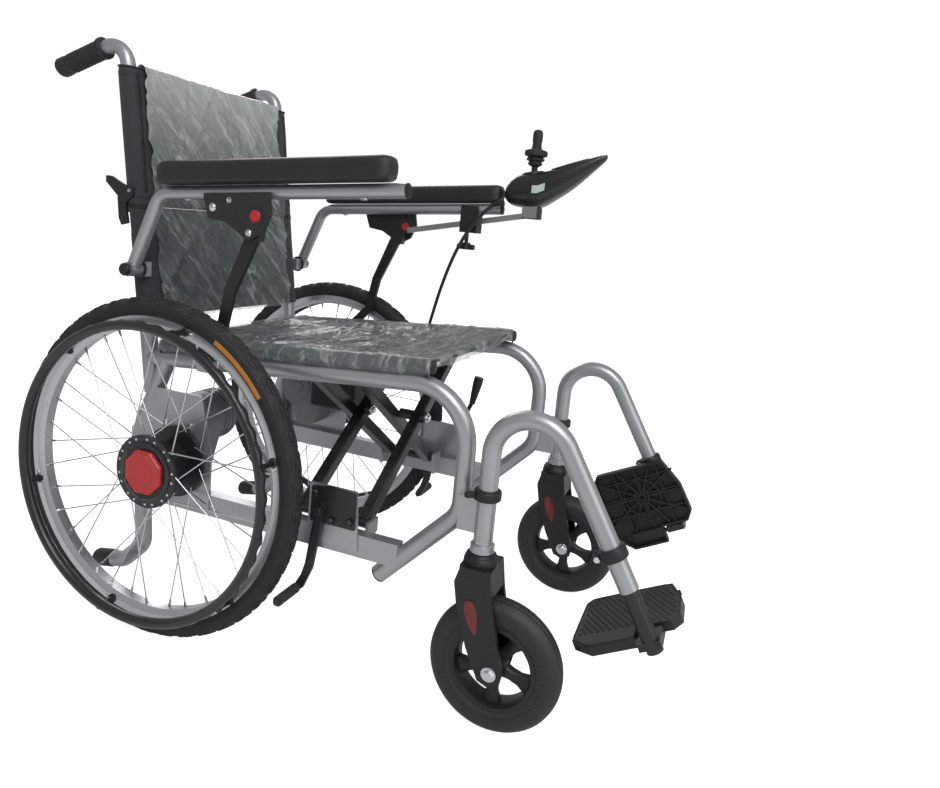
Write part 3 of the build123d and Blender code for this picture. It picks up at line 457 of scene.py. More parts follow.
FINISH = {
    name: hard_finish(name, color, worn, rough, sockets, **others)
    for name, (color, worn, rough, sockets, others) in HARD_FINISHES.items()
}


def nylon_finish():
    """Black woven nylon of the seat and back."""
    material, tree, shader = start_finish("black_nylon")
    touched = {"Color": (0.02, 0.023, 0.024, 1), "Worn Color": (0.06, 0.06, 0.06, 1), "Roughness": 0.72}
    surface = add(tree, "ShaderNodeGroup", touched, node_tree=WEAR)
    cloth = add(tree, "ShaderNodeGroup", node_tree=WEAVE)
    tone = mixed(tree, cloth.outputs["Thread"], surface.outputs["Color"], (0.05, 0.054, 0.055, 1))
    tree.links.new(tone, shader.inputs["Base Color"])
    tree.links.new(surface.outputs["Roughness"], shader.inputs["Roughness"])
    tree.links.new(cloth.outputs["Normal"], shader.inputs["Normal"])
    shader.inputs["Sheen Weight"].default_value = 0.15
    return material


def film_finish(name, stretch, scale, clear, cloudy, pale_above=None):
    """Clear protective film: see-through between pale creases, cloudier where it bunches."""
    material, tree, shader = start_finish(name)
    pulled = {"Stretch": stretch, "Scale": scale, "Depth": 0.45}
    creases = add(tree, "ShaderNodeGroup", pulled, node_tree=CREASE)
    coord = add(tree, "ShaderNodeTexCoord")
    cloud = add(
        tree, "ShaderNodeTexNoise", {"Scale": 7.0, "Detail": 3.0, "Distortion": 1.2},
        {"Vector": coord.outputs["Object"]}
    )
    haze = ramp(tree, cloud.outputs["Fac"], 0.36, 0.66)
    tint = mixed(tree, creases.outputs["Streak"], (0.2, 0.232, 0.226, 1), (0.6, 0.64, 0.63, 1))
    cover = maths(tree, "ADD", maths(tree, "MULTIPLY", creases.outputs["Streak"], cloudy), clear)
    cover = maths(tree, "ADD", cover, maths(tree, "MULTIPLY", haze, 0.16))
    if pale_above:
        up = add(tree, "ShaderNodeSeparateXYZ", links={"Vector": coord.outputs["Object"]})
        rise = add(
            tree, "ShaderNodeMapRange",
            {"From Min": pale_above[0], "From Max": pale_above[1], "To Min": 0.0, "To Max": 0.6},
            {"Value": up.outputs["Z"]},
        )
        cover = maths(tree, "ADD", cover, rise.outputs["Result"])
        tint = mixed(tree, rise.outputs["Result"], tint, (0.66, 0.69, 0.68, 1))
    cover = maths(tree, "MINIMUM", cover, 0.92)
    tree.links.new(tint, shader.inputs["Base Color"])
    tree.links.new(cover, shader.inputs["Alpha"])
    tree.links.new(maths(tree, "ADD", maths(tree, "MULTIPLY", haze, 0.2), 0.12), shader.inputs["Roughness"])
    tree.links.new(creases.outputs["Normal"], shader.inputs["Normal"])
    shader.inputs["Coat Weight"].default_value = 0.4
    shader.inputs["Coat Roughness"].default_value = 0.12
    return material


FINISH["nylon"] = nylon_finish()
FINISH["seat_film"] = film_finish("seat_film", (0.35, 2.0, 1.0), 13.0, 0.3, 0.26)
FINISH["back_film"] = film_finish("back_film", (2.6, 1.0, 0.4), 9.0, 0.22, 0.36, (0.74, 0.93))


class Shape:
    """Vertices and faces gathered for one piece."""

    def __init__(self):
        self.verts = []
        self.faces = []

    def take(self, verts, faces):
        """Add loose vertices and faces that index into them."""
        base = len(self.verts)
        self.verts += [Vector(v) for v in verts]
        self.faces += [tuple(base + i for i in face) for face in faces]

    def loft(self, rings, caps=True, closed=False, open_ring=False):
        """Skin a list of equal rings."""
        count = len(rings[0])
        faces = []
        last = len(rings) if closed else len(rings) - 1
        span = count - 1 if open_ring else count
        for i in range(last):
            j = (i + 1) % len(rings)
            for k in range(span):
                m = (k + 1) % count
                faces.append((i * count + k, i * count + m, j * count + m, j * count + k))
        if caps and not closed and not open_ring:
            faces.append(tuple(reversed(range(count))))
            faces.append(tuple(range((len(rings) - 1) * count, len(rings) * count)))
        self.take([v for ring in rings for v in ring], faces)

    def lathe(self, origin, axis, profile, steps=48, closed=False, start=0.0):
        """Turn a profile of (distance along, radius), in millimetres, about an axis."""
        axis = Vector(axis).normalized()
        across = axis.orthogonal().normalized()
        other = axis.cross(across)
        rings = []
        for step in range(steps):
            turn = start + 2 * pi * step / steps
            out = across * cos(turn) + other * sin(turn)
            rings.append([origin + axis * (a * MM) + out * (r * MM) for a, r in profile])
        self.loft(rings, caps=False, closed=True, open_ring=not closed)

    def tube(self, points, radius, steps=16, caps=True):
        """A round tube along points, with its ends closed."""
        rings = []
        side = None
        for i, point in enumerate(points):
            ahead = points[min(i + 1, len(points) - 1)] - points[max(i - 1, 0)]
            ahead.normalize()
            if side is None:
                side = ahead.orthogonal().normalized()
            side = (side - ahead * side.dot(ahead)).normalized()
            up = ahead.cross(side)
            rings.append([
                point + (side * cos(2 * pi * k / steps) + up * sin(2 * pi * k / steps)) * (radius * MM)
                for k in range(steps)
            ])
        self.loft(rings, caps=caps)

    def slab(self, outline, offset):
        """A plate between an outline of points and the same outline moved by offset."""
        self.loft([outline, [p + offset for p in outline]])

    def piece(self, name, finish, body, slot="", bevel=0.0, subdivide=0, crease_angle=38.0, thickness=0.0):
        """Make the object, weld and orient it, and set it riding on its body."""
        mesh = bpy.data.meshes.new(name)
        mesh.from_pydata([tuple(v) for v in self.verts], [], self.faces)
        work = bmesh.new()
        work.from_mesh(mesh)
        bmesh.ops.remove_doubles(work, verts=work.verts, dist=1e-6)
        bmesh.ops.recalc_face_normals(work, faces=work.faces)
        work.to_mesh(mesh)
        work.free()
        obj = bpy.data.objects.new(name, mesh)
        bpy.context.collection.objects.link(obj)
        if thickness:
            shell = obj.modifiers.new("thickness", "SOLIDIFY")
            shell.thickness = thickness * MM
            shell.offset = 0.0
        if bevel:
            round_edges(obj, bevel, 35)
        if subdivide:
            soften = obj.modifiers.new("soften", "SUBSURF")
            soften.levels = soften.render_levels = subdivide
        apply_modifiers(obj)
        round_normals(obj.data, crease_angle)
        obj.data.materials.append(FINISH[finish])
        if body:
            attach(obj, body)
        return obj


def round_edges(obj, width, degrees):
    """Round the edges sharper than an angle."""
    edge = obj.modifiers.new("edge", "BEVEL")
    edge.width = width * MM
    edge.segments = 2
    edge.limit_method = "ANGLE"
    edge.angle_limit = radians(degrees)


def apply_modifiers(obj):
    """Replace a piece's mesh by its evaluated mesh."""
    if not obj.modifiers:
        return
    bpy.context.view_layer.update()
    seen = obj.evaluated_get(bpy.context.evaluated_depsgraph_get())
    finished = bpy.data.meshes.new_from_object(seen)
    finished.name = obj.data.name + "_final"
    obj.modifiers.clear()
    obj.data = finished


def round_normals(mesh, degrees):
    """Shade curved faces smoothly and keep sharp edges."""
    mesh.polygons.foreach_set("use_smooth", [True] * len(mesh.polygons))
    mesh.set_sharp_from_angle(angle=radians(degrees))


def turned(name, finish, body, spot, axis, profile, steps, closed=False, **looks):
    """A piece made by turning one profile."""
    shape = Shape()
    shape.lathe(spot, axis, profile, steps, closed)
    return shape.piece(name, finish, body, **looks)


# ------------------------------------------------------------------ carried-over nodes
NODE_FINISHES = {
    "side_frame": "silver_paint",
    "upper_back_post": "silver_paint",
    "back_release_lever": "black_plastic",
    "armrest_frame": "silver_paint",
    "armrest_bracket": "black_metal",
    "armrest_button": "red_plastic",
    "rear_rim": "alloy_rim",
    "rear_spokes": "chrome",
    "rear_hub": "black_metal",
    "drive_motor": "motor_grey",
    "caster_fork": "black_plastic",
    "legrest_hanger": "silver_paint",
    "footrest_tube": "black_metal",
    "footplate": "black_plastic",
    "brake_bracket": "black_metal",
    "brake_shoe": "black_metal",
    "brake_lever": "black_plastic",
    "seat_rail": "black_metal",
    "cross_brace": "brace_metal",
    "controller_box": "black_plastic",
    "joystick_gimbal": "black_plastic",
    "joystick_power_button": "red_plastic",
    "joystick_bar": "steel_bar",
    "joystick_clamp": "black_plastic",
    "joystick_clamp_knob": "black_plastic",
    "joystick_stick": "grip_rubber",
}
NODE_BEVELS = {"caster_fork": 1.6, "armrest_bracket": 0.8, "brake_bracket": 0.7, "joystick_clamp": 1.2}
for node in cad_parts:
    kind = node.removeprefix("right_").removeprefix("left_")
    if kind not in NODE_FINISHES:
        continue
    carried = bpy.data.objects[node]
    carried.data.materials.clear()
    carried.data.materials.append(FINISH[NODE_FINISHES[kind]])
    if kind in NODE_BEVELS:
        round_edges(carried, NODE_BEVELS[kind], 40)
    round_normals(carried.data, 34.0)


# ------------------------------------------------------------------ rear wheels
TREAD_PITCHES = 84
HAND_RIM_BUMPS = 46
SPOKES = 36


def wheel_point(side, offset, turn, radius):
    """A point of a rear wheel: offset outboard of its mid-plane, turn forward from the top."""
    return at(side * (WHEEL_X + offset), radius * sin(turn), WHEEL_R + radius * cos(turn))


def carcass_point(side, turn, lean, section):
    """A point of the tyre's section: lean is the angle from the crown towards the outboard side."""
    return wheel_point(side, section * sin(lean), turn, TYRE_CENTRE_R + section * cos(lean))


def make_tyre(name, side):
    """Carcass with bead lines on its sidewalls, and knobs in seven rows."""
    tyre = Shape()
    section = []
    for k in range(37):
        lean = radians(-132 + 264 * k / 36)
        size = 17.3
        if 0.92 < abs(lean) < 1.12 or 1.42 < abs(lean) < 1.52:
            size = 17.9
        section.append((size * sin(lean), TYRE_CENTRE_R + size * cos(lean)))
    section += [(10.5, 250.4), (-10.5, 250.4)]
    tyre.lathe(at(side * WHEEL_X, 0, WHEEL_R), (side, 0, 0), section, steps=180, closed=True)
    pitch = 2 * pi / TREAD_PITCHES
    rows = [
        (-0.1, 0.1, 0.0, 0.62, 18.95), (0.17, 0.42, 0.25, 0.5, 18.9), (0.5, 0.72, 0.0, 0.55, 18.6),
        (0.8, 0.98, 0.3, 0.6, 18.3),
    ]
    for step in range(TREAD_PITCHES):
        for inner, outer, shift, share, height in rows:
            for sign in (1, -1):
                if sign < 0 and inner < 0:
                    continue
                a, b = inner * sign, outer * sign
                # Knobs lean alternately, which makes the arrow pattern.
                slant = 0.28 * pitch * (1 if step % 2 else -1) if inner > 0 else 0.0
                t0 = (step + shift) * pitch
                t1 = t0 + share * pitch
                low = [
                    carcass_point(side, t, lean, 16.8)
                    for t, lean in ((t0, a), (t1, a), (t1 + slant, b), (t0 + slant, b))
                ]
                inset = 0.09 * pitch
                edge = 0.018 * sign
                top = [
                    carcass_point(side, t, lean, height)
                    for t, lean in (
                        (t0 + inset, a + edge), (t1 - inset, a + edge), (t1 + slant - inset, b - edge),
                        (t0 + slant + inset, b - edge),
                    )
                ]
                tyre.loft([low, top])
    piece = tyre.piece(f"{name}_tyre_tread", "tyre_rubber", f"{name}_wheel", crease_angle=30)
    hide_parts(f"{name}_rear_tyre")


def make_hand_rim(name, side):
    """Push ring with finger bumps on the side that faces the wheel, and its six clips."""
    ring = Shape()
    rings = []
    steps = HAND_RIM_BUMPS * 8
    for step in range(steps):
        turn = 2 * pi * step / steps
        dip = 0.5 - 0.5 * cos(turn * HAND_RIM_BUMPS)
        loop = []
        for k in range(18):
            lean = 2 * pi * k / 18
            # The bumps face outwards from the hub and towards the wheel.
            facing = max(0.0, cos(lean - radians(305)))
            size = HAND_RIM_TUBE - 3.2 * dip * facing ** 0.7
            offset = HAND_RIM_X - WHEEL_X + size * sin(lean)
            loop.append(wheel_point(side, offset, turn, HAND_RIM_R + size * cos(lean)))
        rings.append(loop)
    ring.loft(rings, closed=True)
    obj = ring.piece(f"{name}_push_ring", "gloss_plastic", f"{name}_wheel")
    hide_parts(f"{name}_hand_rim")
    clips = Shape()
    screws = Shape()
    for k in range(6):
        turn = radians(90 - (60 * k + 15))
        foot = wheel_point(side, 13.0, turn, HAND_RIM_R + 5)
        clips.lathe(
            foot, (side, 0, 0),
            [(-1, 0), (-1, 7.5), (2, 7.5), (4, 5), (22, 4.2), (26, 6.2), (30, 6.2), (30, 0)], 14,
        )
        head = wheel_point(side, 15.6, turn + 0.045, HAND_RIM_R + 5)
        screws.lathe(head, (side, 0, 0), [(-2, 0), (-2, 3), (0.6, 3), (1.4, 2), (1.4, 0)], 10)
    clips.piece(f"{name}_push_ring_clips", "black_plastic", f"{name}_wheel")
    screws.piece(f"{name}_push_ring_screws", "chrome", f"{name}_wheel")


def make_hub_details(name, side):
    """Flange screws, spoke heads, spoke nipples and the end cap ring."""
    screws = Shape()
    nipples = Shape()
    for k in range(SPOKES):
        turn = radians(360 / SPOKES * k)
        lean = radians(38 if k % 4 < 2 else -38)
        outboard = k % 2
        flange = OUTER_FLANGE_X if outboard else INNER_FLANGE_X
        layer = 1.5 if k % 4 < 2 else -1.5
        start = at(
            side * (flange + layer), FLANGE_HOLES_R * cos(turn + lean),
            WHEEL_R + FLANGE_HOLES_R * sin(turn + lean),
        )
        end = at(
            side * (WHEEL_X + (3 if outboard else -3)), NIPPLES_R * cos(turn),
            WHEEL_R + NIPPLES_R * sin(turn),
        )
        inward = (start - end).normalized()
        nipples.lathe(end, inward, [(-1, 0), (-1, 2.4), (9, 2.0), (12, 1.5), (12, 0)], 8)
        face = side * (flange + (FLANGE_HALF if outboard else -FLANGE_HALF))
        head = at(face, FLANGE_HOLES_R * cos(turn + lean), WHEEL_R + FLANGE_HOLES_R * sin(turn + lean))
        outward = (side if outboard else -side, 0, 0)
        screws.lathe(head, outward, [(-1, 0), (-1, 2.6), (0.8, 2.2), (1.4, 0.9), (1.4, 0)], 10)
    nipples.piece(f"{name}_spoke_nipples", "chrome", f"{name}_wheel")
    screws.piece(f"{name}_spoke_heads", "chrome", f"{name}_wheel")
    turned(
        f"{name}_hub_cover_ring", "gloss_plastic", f"{name}_wheel", at(side * HUB_FACE_X, 0, WHEEL_R),
        (side, 0, 0), [(-1, 40), (-1, 49), (1.2, 49), (2.2, 47.5), (2.2, 43), (1.0, 41.5), (1.0, 40)], 64,
        closed=True,
    )
    bolts = Shape()
    for k in range(6):
        turn = radians(60 * k + 20)
        head = at(side * 292.6, HUB_BOLTS_R * cos(turn), WHEEL_R + HUB_BOLTS_R * sin(turn))
        bolts.lathe(head, (side, 0, 0), [(-1, 0), (-1, 2.4), (1.6, 2.4), (2.2, 1.8), (2.2, 0)], 6)
    bolts.piece(f"{name}_hub_bolts", "black_metal", f"{name}_wheel")


def make_clutch_knob(name, side):
    """Eight-sided knob with a stepped, slightly dished face."""
    knob = Shape()
    profile = [
        (0, 0), (0, 37.2), (0.8, 38), (5.4, 38), (7.6, 35.6), (8.4, 33), (8.0, 31.4), (7.8, 22), (7.0, 20.5),
        (6.8, 0),
    ]
    base = at(side * KNOB_BASE_X, 0, WHEEL_R)
    knob.lathe(base, (side, 0, 0), profile, 8, start=radians(22.5))
    knob.lathe(base, (-side, 0, 0), [(-1, 0), (-1, 13.9), (7.6, 13.9), (7.9, 13), (7.9, 0)], 32)
    obj = knob.piece(f"{name}_clutch_knob_cap", "red_plastic", f"{name}_clutch", crease_angle=20)
    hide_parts(f"{name}_clutch_knob")


def make_tyre_strip(name, side):
    """Plain orange strip on the outboard sidewall."""
    strip = Shape()
    rings = []
    for k in range(25):
        turn = radians(28 + 25 * k / 24)
        rings.append([
            carcass_point(side, turn, radians(lean), size)
            for lean, size in ((83, 17.0), (83, 17.75), (97, 17.85), (110, 17.8), (110, 17.0))
        ])
    strip.loft(rings)
    strip.piece(f"{name}_tyre_strip", "tyre_strip", f"{name}_wheel")


for name, side in SIDES:
    make_tyre(name, side)
    make_hand_rim(name, side)
    make_hub_details(name, side)
    make_clutch_knob(name, side)
make_tyre_strip("right", -1)


# ------------------------------------------------------------------ casters
def make_caster(name, side):
    """Grooved solid tyre on a five-spoke rim."""
    centre = at(side * STEM[0], *CASTER_AXLE)
    tyre = Shape()
    crown_line = []
    for mid in (-7.5, 0.0, 7.5):
        crown = 99.6 - 0.026 * mid * mid
        crown_line += [
            (mid - 1.3, crown), (mid - 0.8, crown - 1.7), (mid + 0.8, crown - 1.7), (mid + 1.3, crown),
        ]
    for sign in (-1, 1):
        for k in range(1, 8):
            lean = radians(sign * (90 - 90 * k / 8))
            crown_line.append((21.3 * sin(lean), 80 + 19.6 * cos(lean)))
    wall = [(17.9, 65.2), (19.5, 68), (20.8, 74), (21.3, 80)]
    profile = [(-along, radius) for along, radius in wall]
    profile += sorted(crown_line) + wall[::-1] + [(17.0, 63.5), (-17.0, 63.5)]
    tyre.lathe(centre, (1, 0, 0), profile, 96, closed=True)
    for k in range(72):
        turn = radians(5 * k)
        for sign in (-1, 1):
            rim_mid = [
                centre + Vector((
                    sign * (20.4 + lift) * MM, -radius * MM * cos(turn + swing),
                    radius * MM * sin(turn + swing)
                ))
                for lift, radius, swing in ((0, 71, 0), (0, 71, 0.03), (0, 79, 0.03), (0, 79, 0))
            ]
            tyre.loft([rim_mid, [p + Vector((sign * 0.95 * MM, 0, 0)) for p in rim_mid]])
    rubber = tyre.piece(f"{name}_caster_tyre", "caster_rubber", f"{name}_caster")
    rim = Shape()
    rim.lathe(
        centre, (1, 0, 0),
        [
            (-18, 58), (-18, 64.5), (-15, 65), (15, 65), (18, 64.5), (18, 58), (14, 56), (7, 54.5),
            (-7, 54.5), (-14, 56),
        ],
        72,
        closed=True,
    )
    rim.lathe(
        centre, (1, 0, 0),
        [
            (-18, 5.1), (-18, 13), (-16.5, 16), (-8, 19), (8, 19), (16.5, 16), (18, 13), (18, 5.1),
        ], 48, closed=True,
    )
    for k in range(5):
        turn = radians(72 * k + 54)
        out = Vector((0, -cos(turn), sin(turn)))
        across = Vector((0, sin(turn), cos(turn)))
        rings = []
        for radius, half, thick in ((14, 9.5, 8.5), (26, 7.6, 7.0), (40, 8.4, 6.0), (58, 14.5, 8.0)):
            rings.append([
                centre + out * (radius * MM) + across * (w * MM) + Vector((t * MM, 0, 0))
                for w, t in (
                    (-half, -thick * 0.7), (-half * 0.7, -thick), (half * 0.7, -thick), (half, -thick * 0.7),
                    (half, thick * 0.7), (half * 0.7, thick), (-half * 0.7, thick), (-half, thick * 0.7),
                )
            ])
        rim.loft(rings)
    core = rim.piece(f"{name}_caster_rim", "black_plastic", f"{name}_caster", slot="caster_rubber")
    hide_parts(f"{name}_caster_wheel")
    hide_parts(f"{name}_caster_wheel")


def make_fork_details(name, side):
    """Dark red inlays, axle nuts, stem collar and bearing cup of a caster fork."""
    x = side * STEM[0]
    inlay = Shape()
    nuts = Shape()
    for sign in (-1, 1):
        outline = []
        for k in range(28):
            turn = 2 * pi * k / 28
            along = cos(turn)
            width = 8.4 * sin(turn) * (1.0 - 0.38 * along)
            length = 24.0 * along
            outline.append(at(x + sign * 30.5, 557 + width + length * 0.3, 176 + width * 0.3 - length))
        inlay.slab(outline, Vector((sign * 1.6 * MM, 0, 0)))
        axle = at(x + sign * 31.0, *CASTER_AXLE)
        nuts.lathe(axle, (sign, 0, 0), [(-1, 0), (-1, 11), (1.0, 11), (1.6, 10.2), (1.6, 0)], 28)
        nuts.lathe(axle, (sign, 0, 0), [(1, 0), (1, 8), (5.6, 8), (6.6, 6.6), (6.6, 0)], 6)
    inlay.piece(f"{name}_fork_inlays", "dark_red", f"{name}_caster_swivel", bevel=0.5)
    nuts.piece(f"{name}_caster_nuts", "chrome", f"{name}_caster_swivel")
    turned(
        f"{name}_fork_crown", "black_plastic", f"{name}_caster_swivel", at(x, STEM[1], 236), (0, 0, 1),
        [(0, 0), (0, 24), (6, 25.5), (14, 25), (20, 23), (22.5, 20.5), (24.5, 18.6), (24.5, 0)], 40,
    )
    turned(
        f"{name}_stem_cup", "silver_paint", f"{name}_frame", at(x, STEM[1], 262.4), (0, 0, 1),
        [(0, 14.2), (0, 17.6), (10, 17.6), (12, 15.2), (12, 14.2)], 40, closed=True,
    )


for name, side in SIDES:
    make_caster(name, side)
    make_fork_details(name, side)


# ------------------------------------------------------------------ grips, plugs and clamps
def make_grip(name, side):
    """Rubber push grip with a flange, finger rings and a domed end."""
    x = side * FRAME_X
    front, rear = at(x, -205, 954), at(x, -297, 921)
    length = (rear - front).length / MM
    profile = [(-5, 12.1), (-5, 17.2), (-4, 18.4), (1.5, 18.4), (3.2, 17.2), (5, 14.9)]
    for k in range(9):
        low = 8 + k * 7.6
        profile += [(low, 15.1), (low + 1.4, 16.4), (low + 4.8, 16.4), (low + 6.2, 15.1)]
    profile += [
        (80, 15.4), (85, 16.4), (length - 1, 16.5), (length + 1.6, 15.2), (length + 2.8, 12), (length + 3, 0),
    ]
    obj = turned(
        f"{name}_grip_sleeve", "grip_rubber", f"{name}_back_half", front, rear - front, profile, 44,
        crease_angle=50,
    )
    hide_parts(f"{name}_push_grip")


def make_plugs(name, side):
    """Black end plugs of the open tubes."""
    plugs = (
        (
            "tail_boot", (-182, 53), (0, 60, -11),
            [(-36, 14.3), (-36, 15.6), (-2, 15.8), (2.5, 14), (4, 9), (4, 0)],
        ),
        (
            "toe_plug", (385, 173), (0, 123, -126),
            [(-4, 11.9), (-0.2, 11.9), (-0.2, 14.2), (2, 14), (3.2, 11), (3.6, 0)],
        ),
    )
    for label, spot, along, profile in plugs:
        turned(
            f"{name}_{label}", "black_plastic", f"{name}_frame", at(side * FRAME_X, *spot), along, profile,
            32, crease_angle=50,
        )
    rest = Shape()
    end = 398.0 if side < 0 else 380.0
    cap = [(-4, 9.3), (-0.2, 9.3), (-0.2, 11.1), (1.6, 11), (3, 8), (3.4, 0)]
    rest.lathe(at(side * ARM_X, end, arm_z(end)), (0, -1, ARM_SLOPE), cap, 28)
    rest.piece(f"{name}_arm_tube_plug", "black_plastic", f"{name}_armrest", crease_angle=50)
    seat_body = "brace_from_left" if side < 0 else "brace_from_right"
    rails = Shape()
    for fwd, sign in ((442.0, 1), (-44.0, -1)):
        rails.lathe(
            at(side * FRAME_X, fwd, rail_z(fwd) + RAIL_RISE), (0, -sign, sign * RAIL_SLOPE),
            [(-2, 0), (-2, 8.4), (0.1, 8.4), (0.1, 10.6), (3.6, 10.4), (5.2, 8.4), (5.8, 0)], 28,
        )
    rails.piece(f"{name}_seat_tube_plugs", "black_plastic", seat_body, crease_angle=50)


def make_leg_clamps(name, side):
    """Latch band on the leg rest's swivel, and the height clamp above the sliding tube."""
    x = side * STEM[0]
    band = Shape()
    band.lathe(
        at(x, STEM[1], 339.2), (0, 0, 1),
        [(0, 14.2), (0, 19.2), (1, 20), (12, 20), (13.5, 18.8), (15, 16.5), (15, 14.2)], 40, closed=True,
    )
    lug = [at(x + side * w, STEM[1] - f, 343) for w, f in ((10, 16), (15, 12), (24, 22), (20, 28), (12, 24))]
    band.slab(lug, Vector((0, 0, 7 * MM)))
    band.piece(f"{name}_legrest_latch", "black_plastic", f"{name}_hanger", crease_angle=45, bevel=0.4)
    slope, across = Vector((0, -LEG_FWD, -LEG_DOWN)), Vector((0, LEG_DOWN, -LEG_FWD))
    foot = at(x, 762, 260)
    clamp = Shape()
    clamp.lathe(
        foot - slope * (61 * MM), slope,
        [(0, 14.1), (0, 18.6), (1.5, 19.6), (15, 19.6), (17, 18.4), (17, 14.1)], 36, closed=True,
    )
    ear = foot - slope * (53 * MM)
    for sign in (-1, 1):
        face = ear + Vector((sign * 4 * MM, 0, 0))
        outline = [
            face + slope * (a * MM) + across * (b * MM)
            for a, b in ((-7, 15), (7, 15), (6, 28), (-6, 28))
        ]
        clamp.slab(outline, Vector((sign * 4 * MM, 0, 0)))
    clamp.piece(f"{name}_height_clamp", "black_plastic", f"{name}_hanger", bevel=0.5)
    bolt = Shape()
    spot = ear + across * (22 * MM)
    for sign in (-1, 1):
        bolt.lathe(spot, (sign, 0, 0), [(0, 0), (0, 3), (8, 3), (8, 5), (11.5, 5), (12.3, 4), (12.3, 0)], 6)
    bolt.piece(f"{name}_height_clamp_bolt", "chrome", f"{name}_hanger")


for name, side in SIDES:
    make_grip(name, side)
    make_plugs(name, side)
    make_leg_clamps(name, side)


# ------------------------------------------------------------------ armrests
PAD_REAR, PAD_FRONT = -29.0, 378.0
PAD_MIDDLE_X = 248.25
PAD_HALF = 21.75
PAD_LOW = 11.3
PAD_TALL = 38.0


def pad_ring(side, along, share):
    """Ring of the pad's section: flat below, crowned above, with a seam groove at mid height."""
    ring = []
    for k in range(40):
        turn = 2 * pi * k / 40
        c, s = cos(turn), sin(turn)
        power = 0.42 if s > 0 else 0.24
        x = copysign(abs(c) ** power, c)
        z = copysign(abs(s) ** (0.62 if s > 0 else 0.34), s)
        seam = exp(-((z + 0.12) / 0.075) ** 2) * 1.3
        half = PAD_HALF * (0.995 + 0.02 * sin(along * 0.021)) * share[0] - seam
        tall = PAD_TALL / 2 * share[1]
        lift = 1.2 * (1 - x * x) if z > 0 else 0.0
        ring.append(at(
            side * PAD_MIDDLE_X + x * half,
            along,
            arm_z(along) + PAD_LOW + PAD_TALL / 2 + z * (tall - 1.2) + lift,
        ))
    return ring


def make_pad(name, side):
    """Padded armrest with rounded ends."""
    rings = []
    stations = 46
    for k in range(stations + 1):
        t = k / stations
        eased = 0.5 - 0.5 * cos(pi * t)
        along = PAD_REAR + (PAD_FRONT - PAD_REAR) * (0.45 * t + 0.55 * eased)
        from_end = min(along - PAD_REAR, PAD_FRONT - along)
        wide = sqrt(max(0.0, 1 - (max(0.0, 20 - from_end) / 20) ** 2))
        high = sqrt(max(0.0, 1 - (max(0.0, 15 - from_end) / 15) ** 2))
        rings.append(pad_ring(side, along, (0.5 + 0.5 * wide, 0.42 + 0.58 * high)))
    pad = Shape()
    pad.loft(rings)
    obj = pad.piece(f"{name}_arm_pad", "pad_skin", f"{name}_armrest", crease_angle=60)
    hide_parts(f"{name}_armrest_pad")
    screws = Shape()
    for fwd in (20, 330):
        screws.lathe(
            at(side * ARM_X, fwd, arm_z(fwd) - 10.6), (0, 0, -1),
            [(-1, 0), (-1, 6), (0.8, 6), (2.6, 4), (2.8, 0)], 20,
        )
    screws.piece(f"{name}_arm_pad_screws", "chrome", f"{name}_armrest")


def make_bracket_details(name, side):
    """Screws of the armrest bracket, the button's ring and the pivot bolt's cap."""
    screws = Shape()
    face = side * 261.0
    for fwd, z, radius in ((82, 709, 6.5), (150, 676, 5.5), (112, 722, 4.5)):
        screws.lathe(
            at(face, fwd, z), (side, 0, 0),
            [
                (-1, 0), (-1, radius), (0.8, radius), (1.2, radius - 0.8), (3.2, radius * 0.62),
                (3.8, radius * 0.3), (3.8, 0),
            ],
            22,
        )
    screws.piece(f"{name}_bracket_screws", "chrome", f"{name}_armrest")
    turned(
        f"{name}_button_ring", "gloss_plastic", f"{name}_armrest", at(face, 162, 702), (side, 0, 0),
        [(-0.6, 9.4), (-0.6, 12.4), (1.2, 12.4), (2.0, 11.2), (2.0, 9.4)], 36, closed=True,
    )
    cap = Shape()
    cap.lathe(
        at(side * 258.5, *ARM_PIVOT), (side, 0, 0),
        [(-0.5, 0), (-0.5, 10.5), (3, 10.5), (5.2, 8.8), (5.8, 5), (5.8, 0)], 36,
    )
    cap.lathe(
        at(side * 229.5, *ARM_PIVOT), (side, 0, 0), [(0, 12.2), (0, 16.5), (1.6, 17), (2.2, 12.2)], 36,
        closed=True,
    )
    cap.piece(f"{name}_arm_pivot_cap", "black_plastic", f"{name}_frame")
    foot = Shape()
    outline = [
        at(side * ARM_X - 7, f, z)
        for f, z in ((56, 465.2), (78, 465.2), (80, 484), (74, 489), (60, 489), (56, 484))
    ]
    foot.slab(outline, Vector((14 * MM, 0, 0)))
    foot.piece(f"{name}_strut_foot", "black_plastic", f"{name}_armrest", bevel=1.4)


for name, side in SIDES:
    make_pad(name, side)
    make_bracket_details(name, side)


# ------------------------------------------------------------------ footplates
PLATE_ALONG = Vector((0, -cos(PLATE_TILT), sin(PLATE_TILT)))
PLATE_UP = Vector((0, sin(PLATE_TILT), cos(PLATE_TILT)))
PLATE_EDGE = [(6, 16), (32, 12), (97, 14), (142, 16), (150, 26), (148, 74), (132, 122), (14, 126), (5, 116)]


def plate_point(side, along, inward, up):
    """A point of a footplate, flipped up where the plate stands so."""
    point = at(side * PLATE_HEEL[0], *PLATE_HEEL[1:]) + PLATE_ALONG * (along * MM)
    point += Vector((-side * inward * MM, 0, 0)) + PLATE_UP * (up * MM)
    if side > 0:
        hinge = at(side * PLATE_HEEL[0], *PLATE_HEEL[1:]) - PLATE_UP * (PIN_DEPTH * MM)
        turn = Matrix.Rotation(radians(-90), 3, PLATE_ALONG)
        point = hinge + turn @ (point - hinge)
    return point


def inside(outline, a, w):
    """Whether a point lies inside an outline."""
    hit = False
    for (a0, w0), (a1, w1) in zip(outline, outline[1:] + outline[:1]):
        if (w0 > w) != (w1 > w) and a < (a1 - a0) * (w - w0) / (w1 - w0) + a0:
            hit = not hit
    return hit


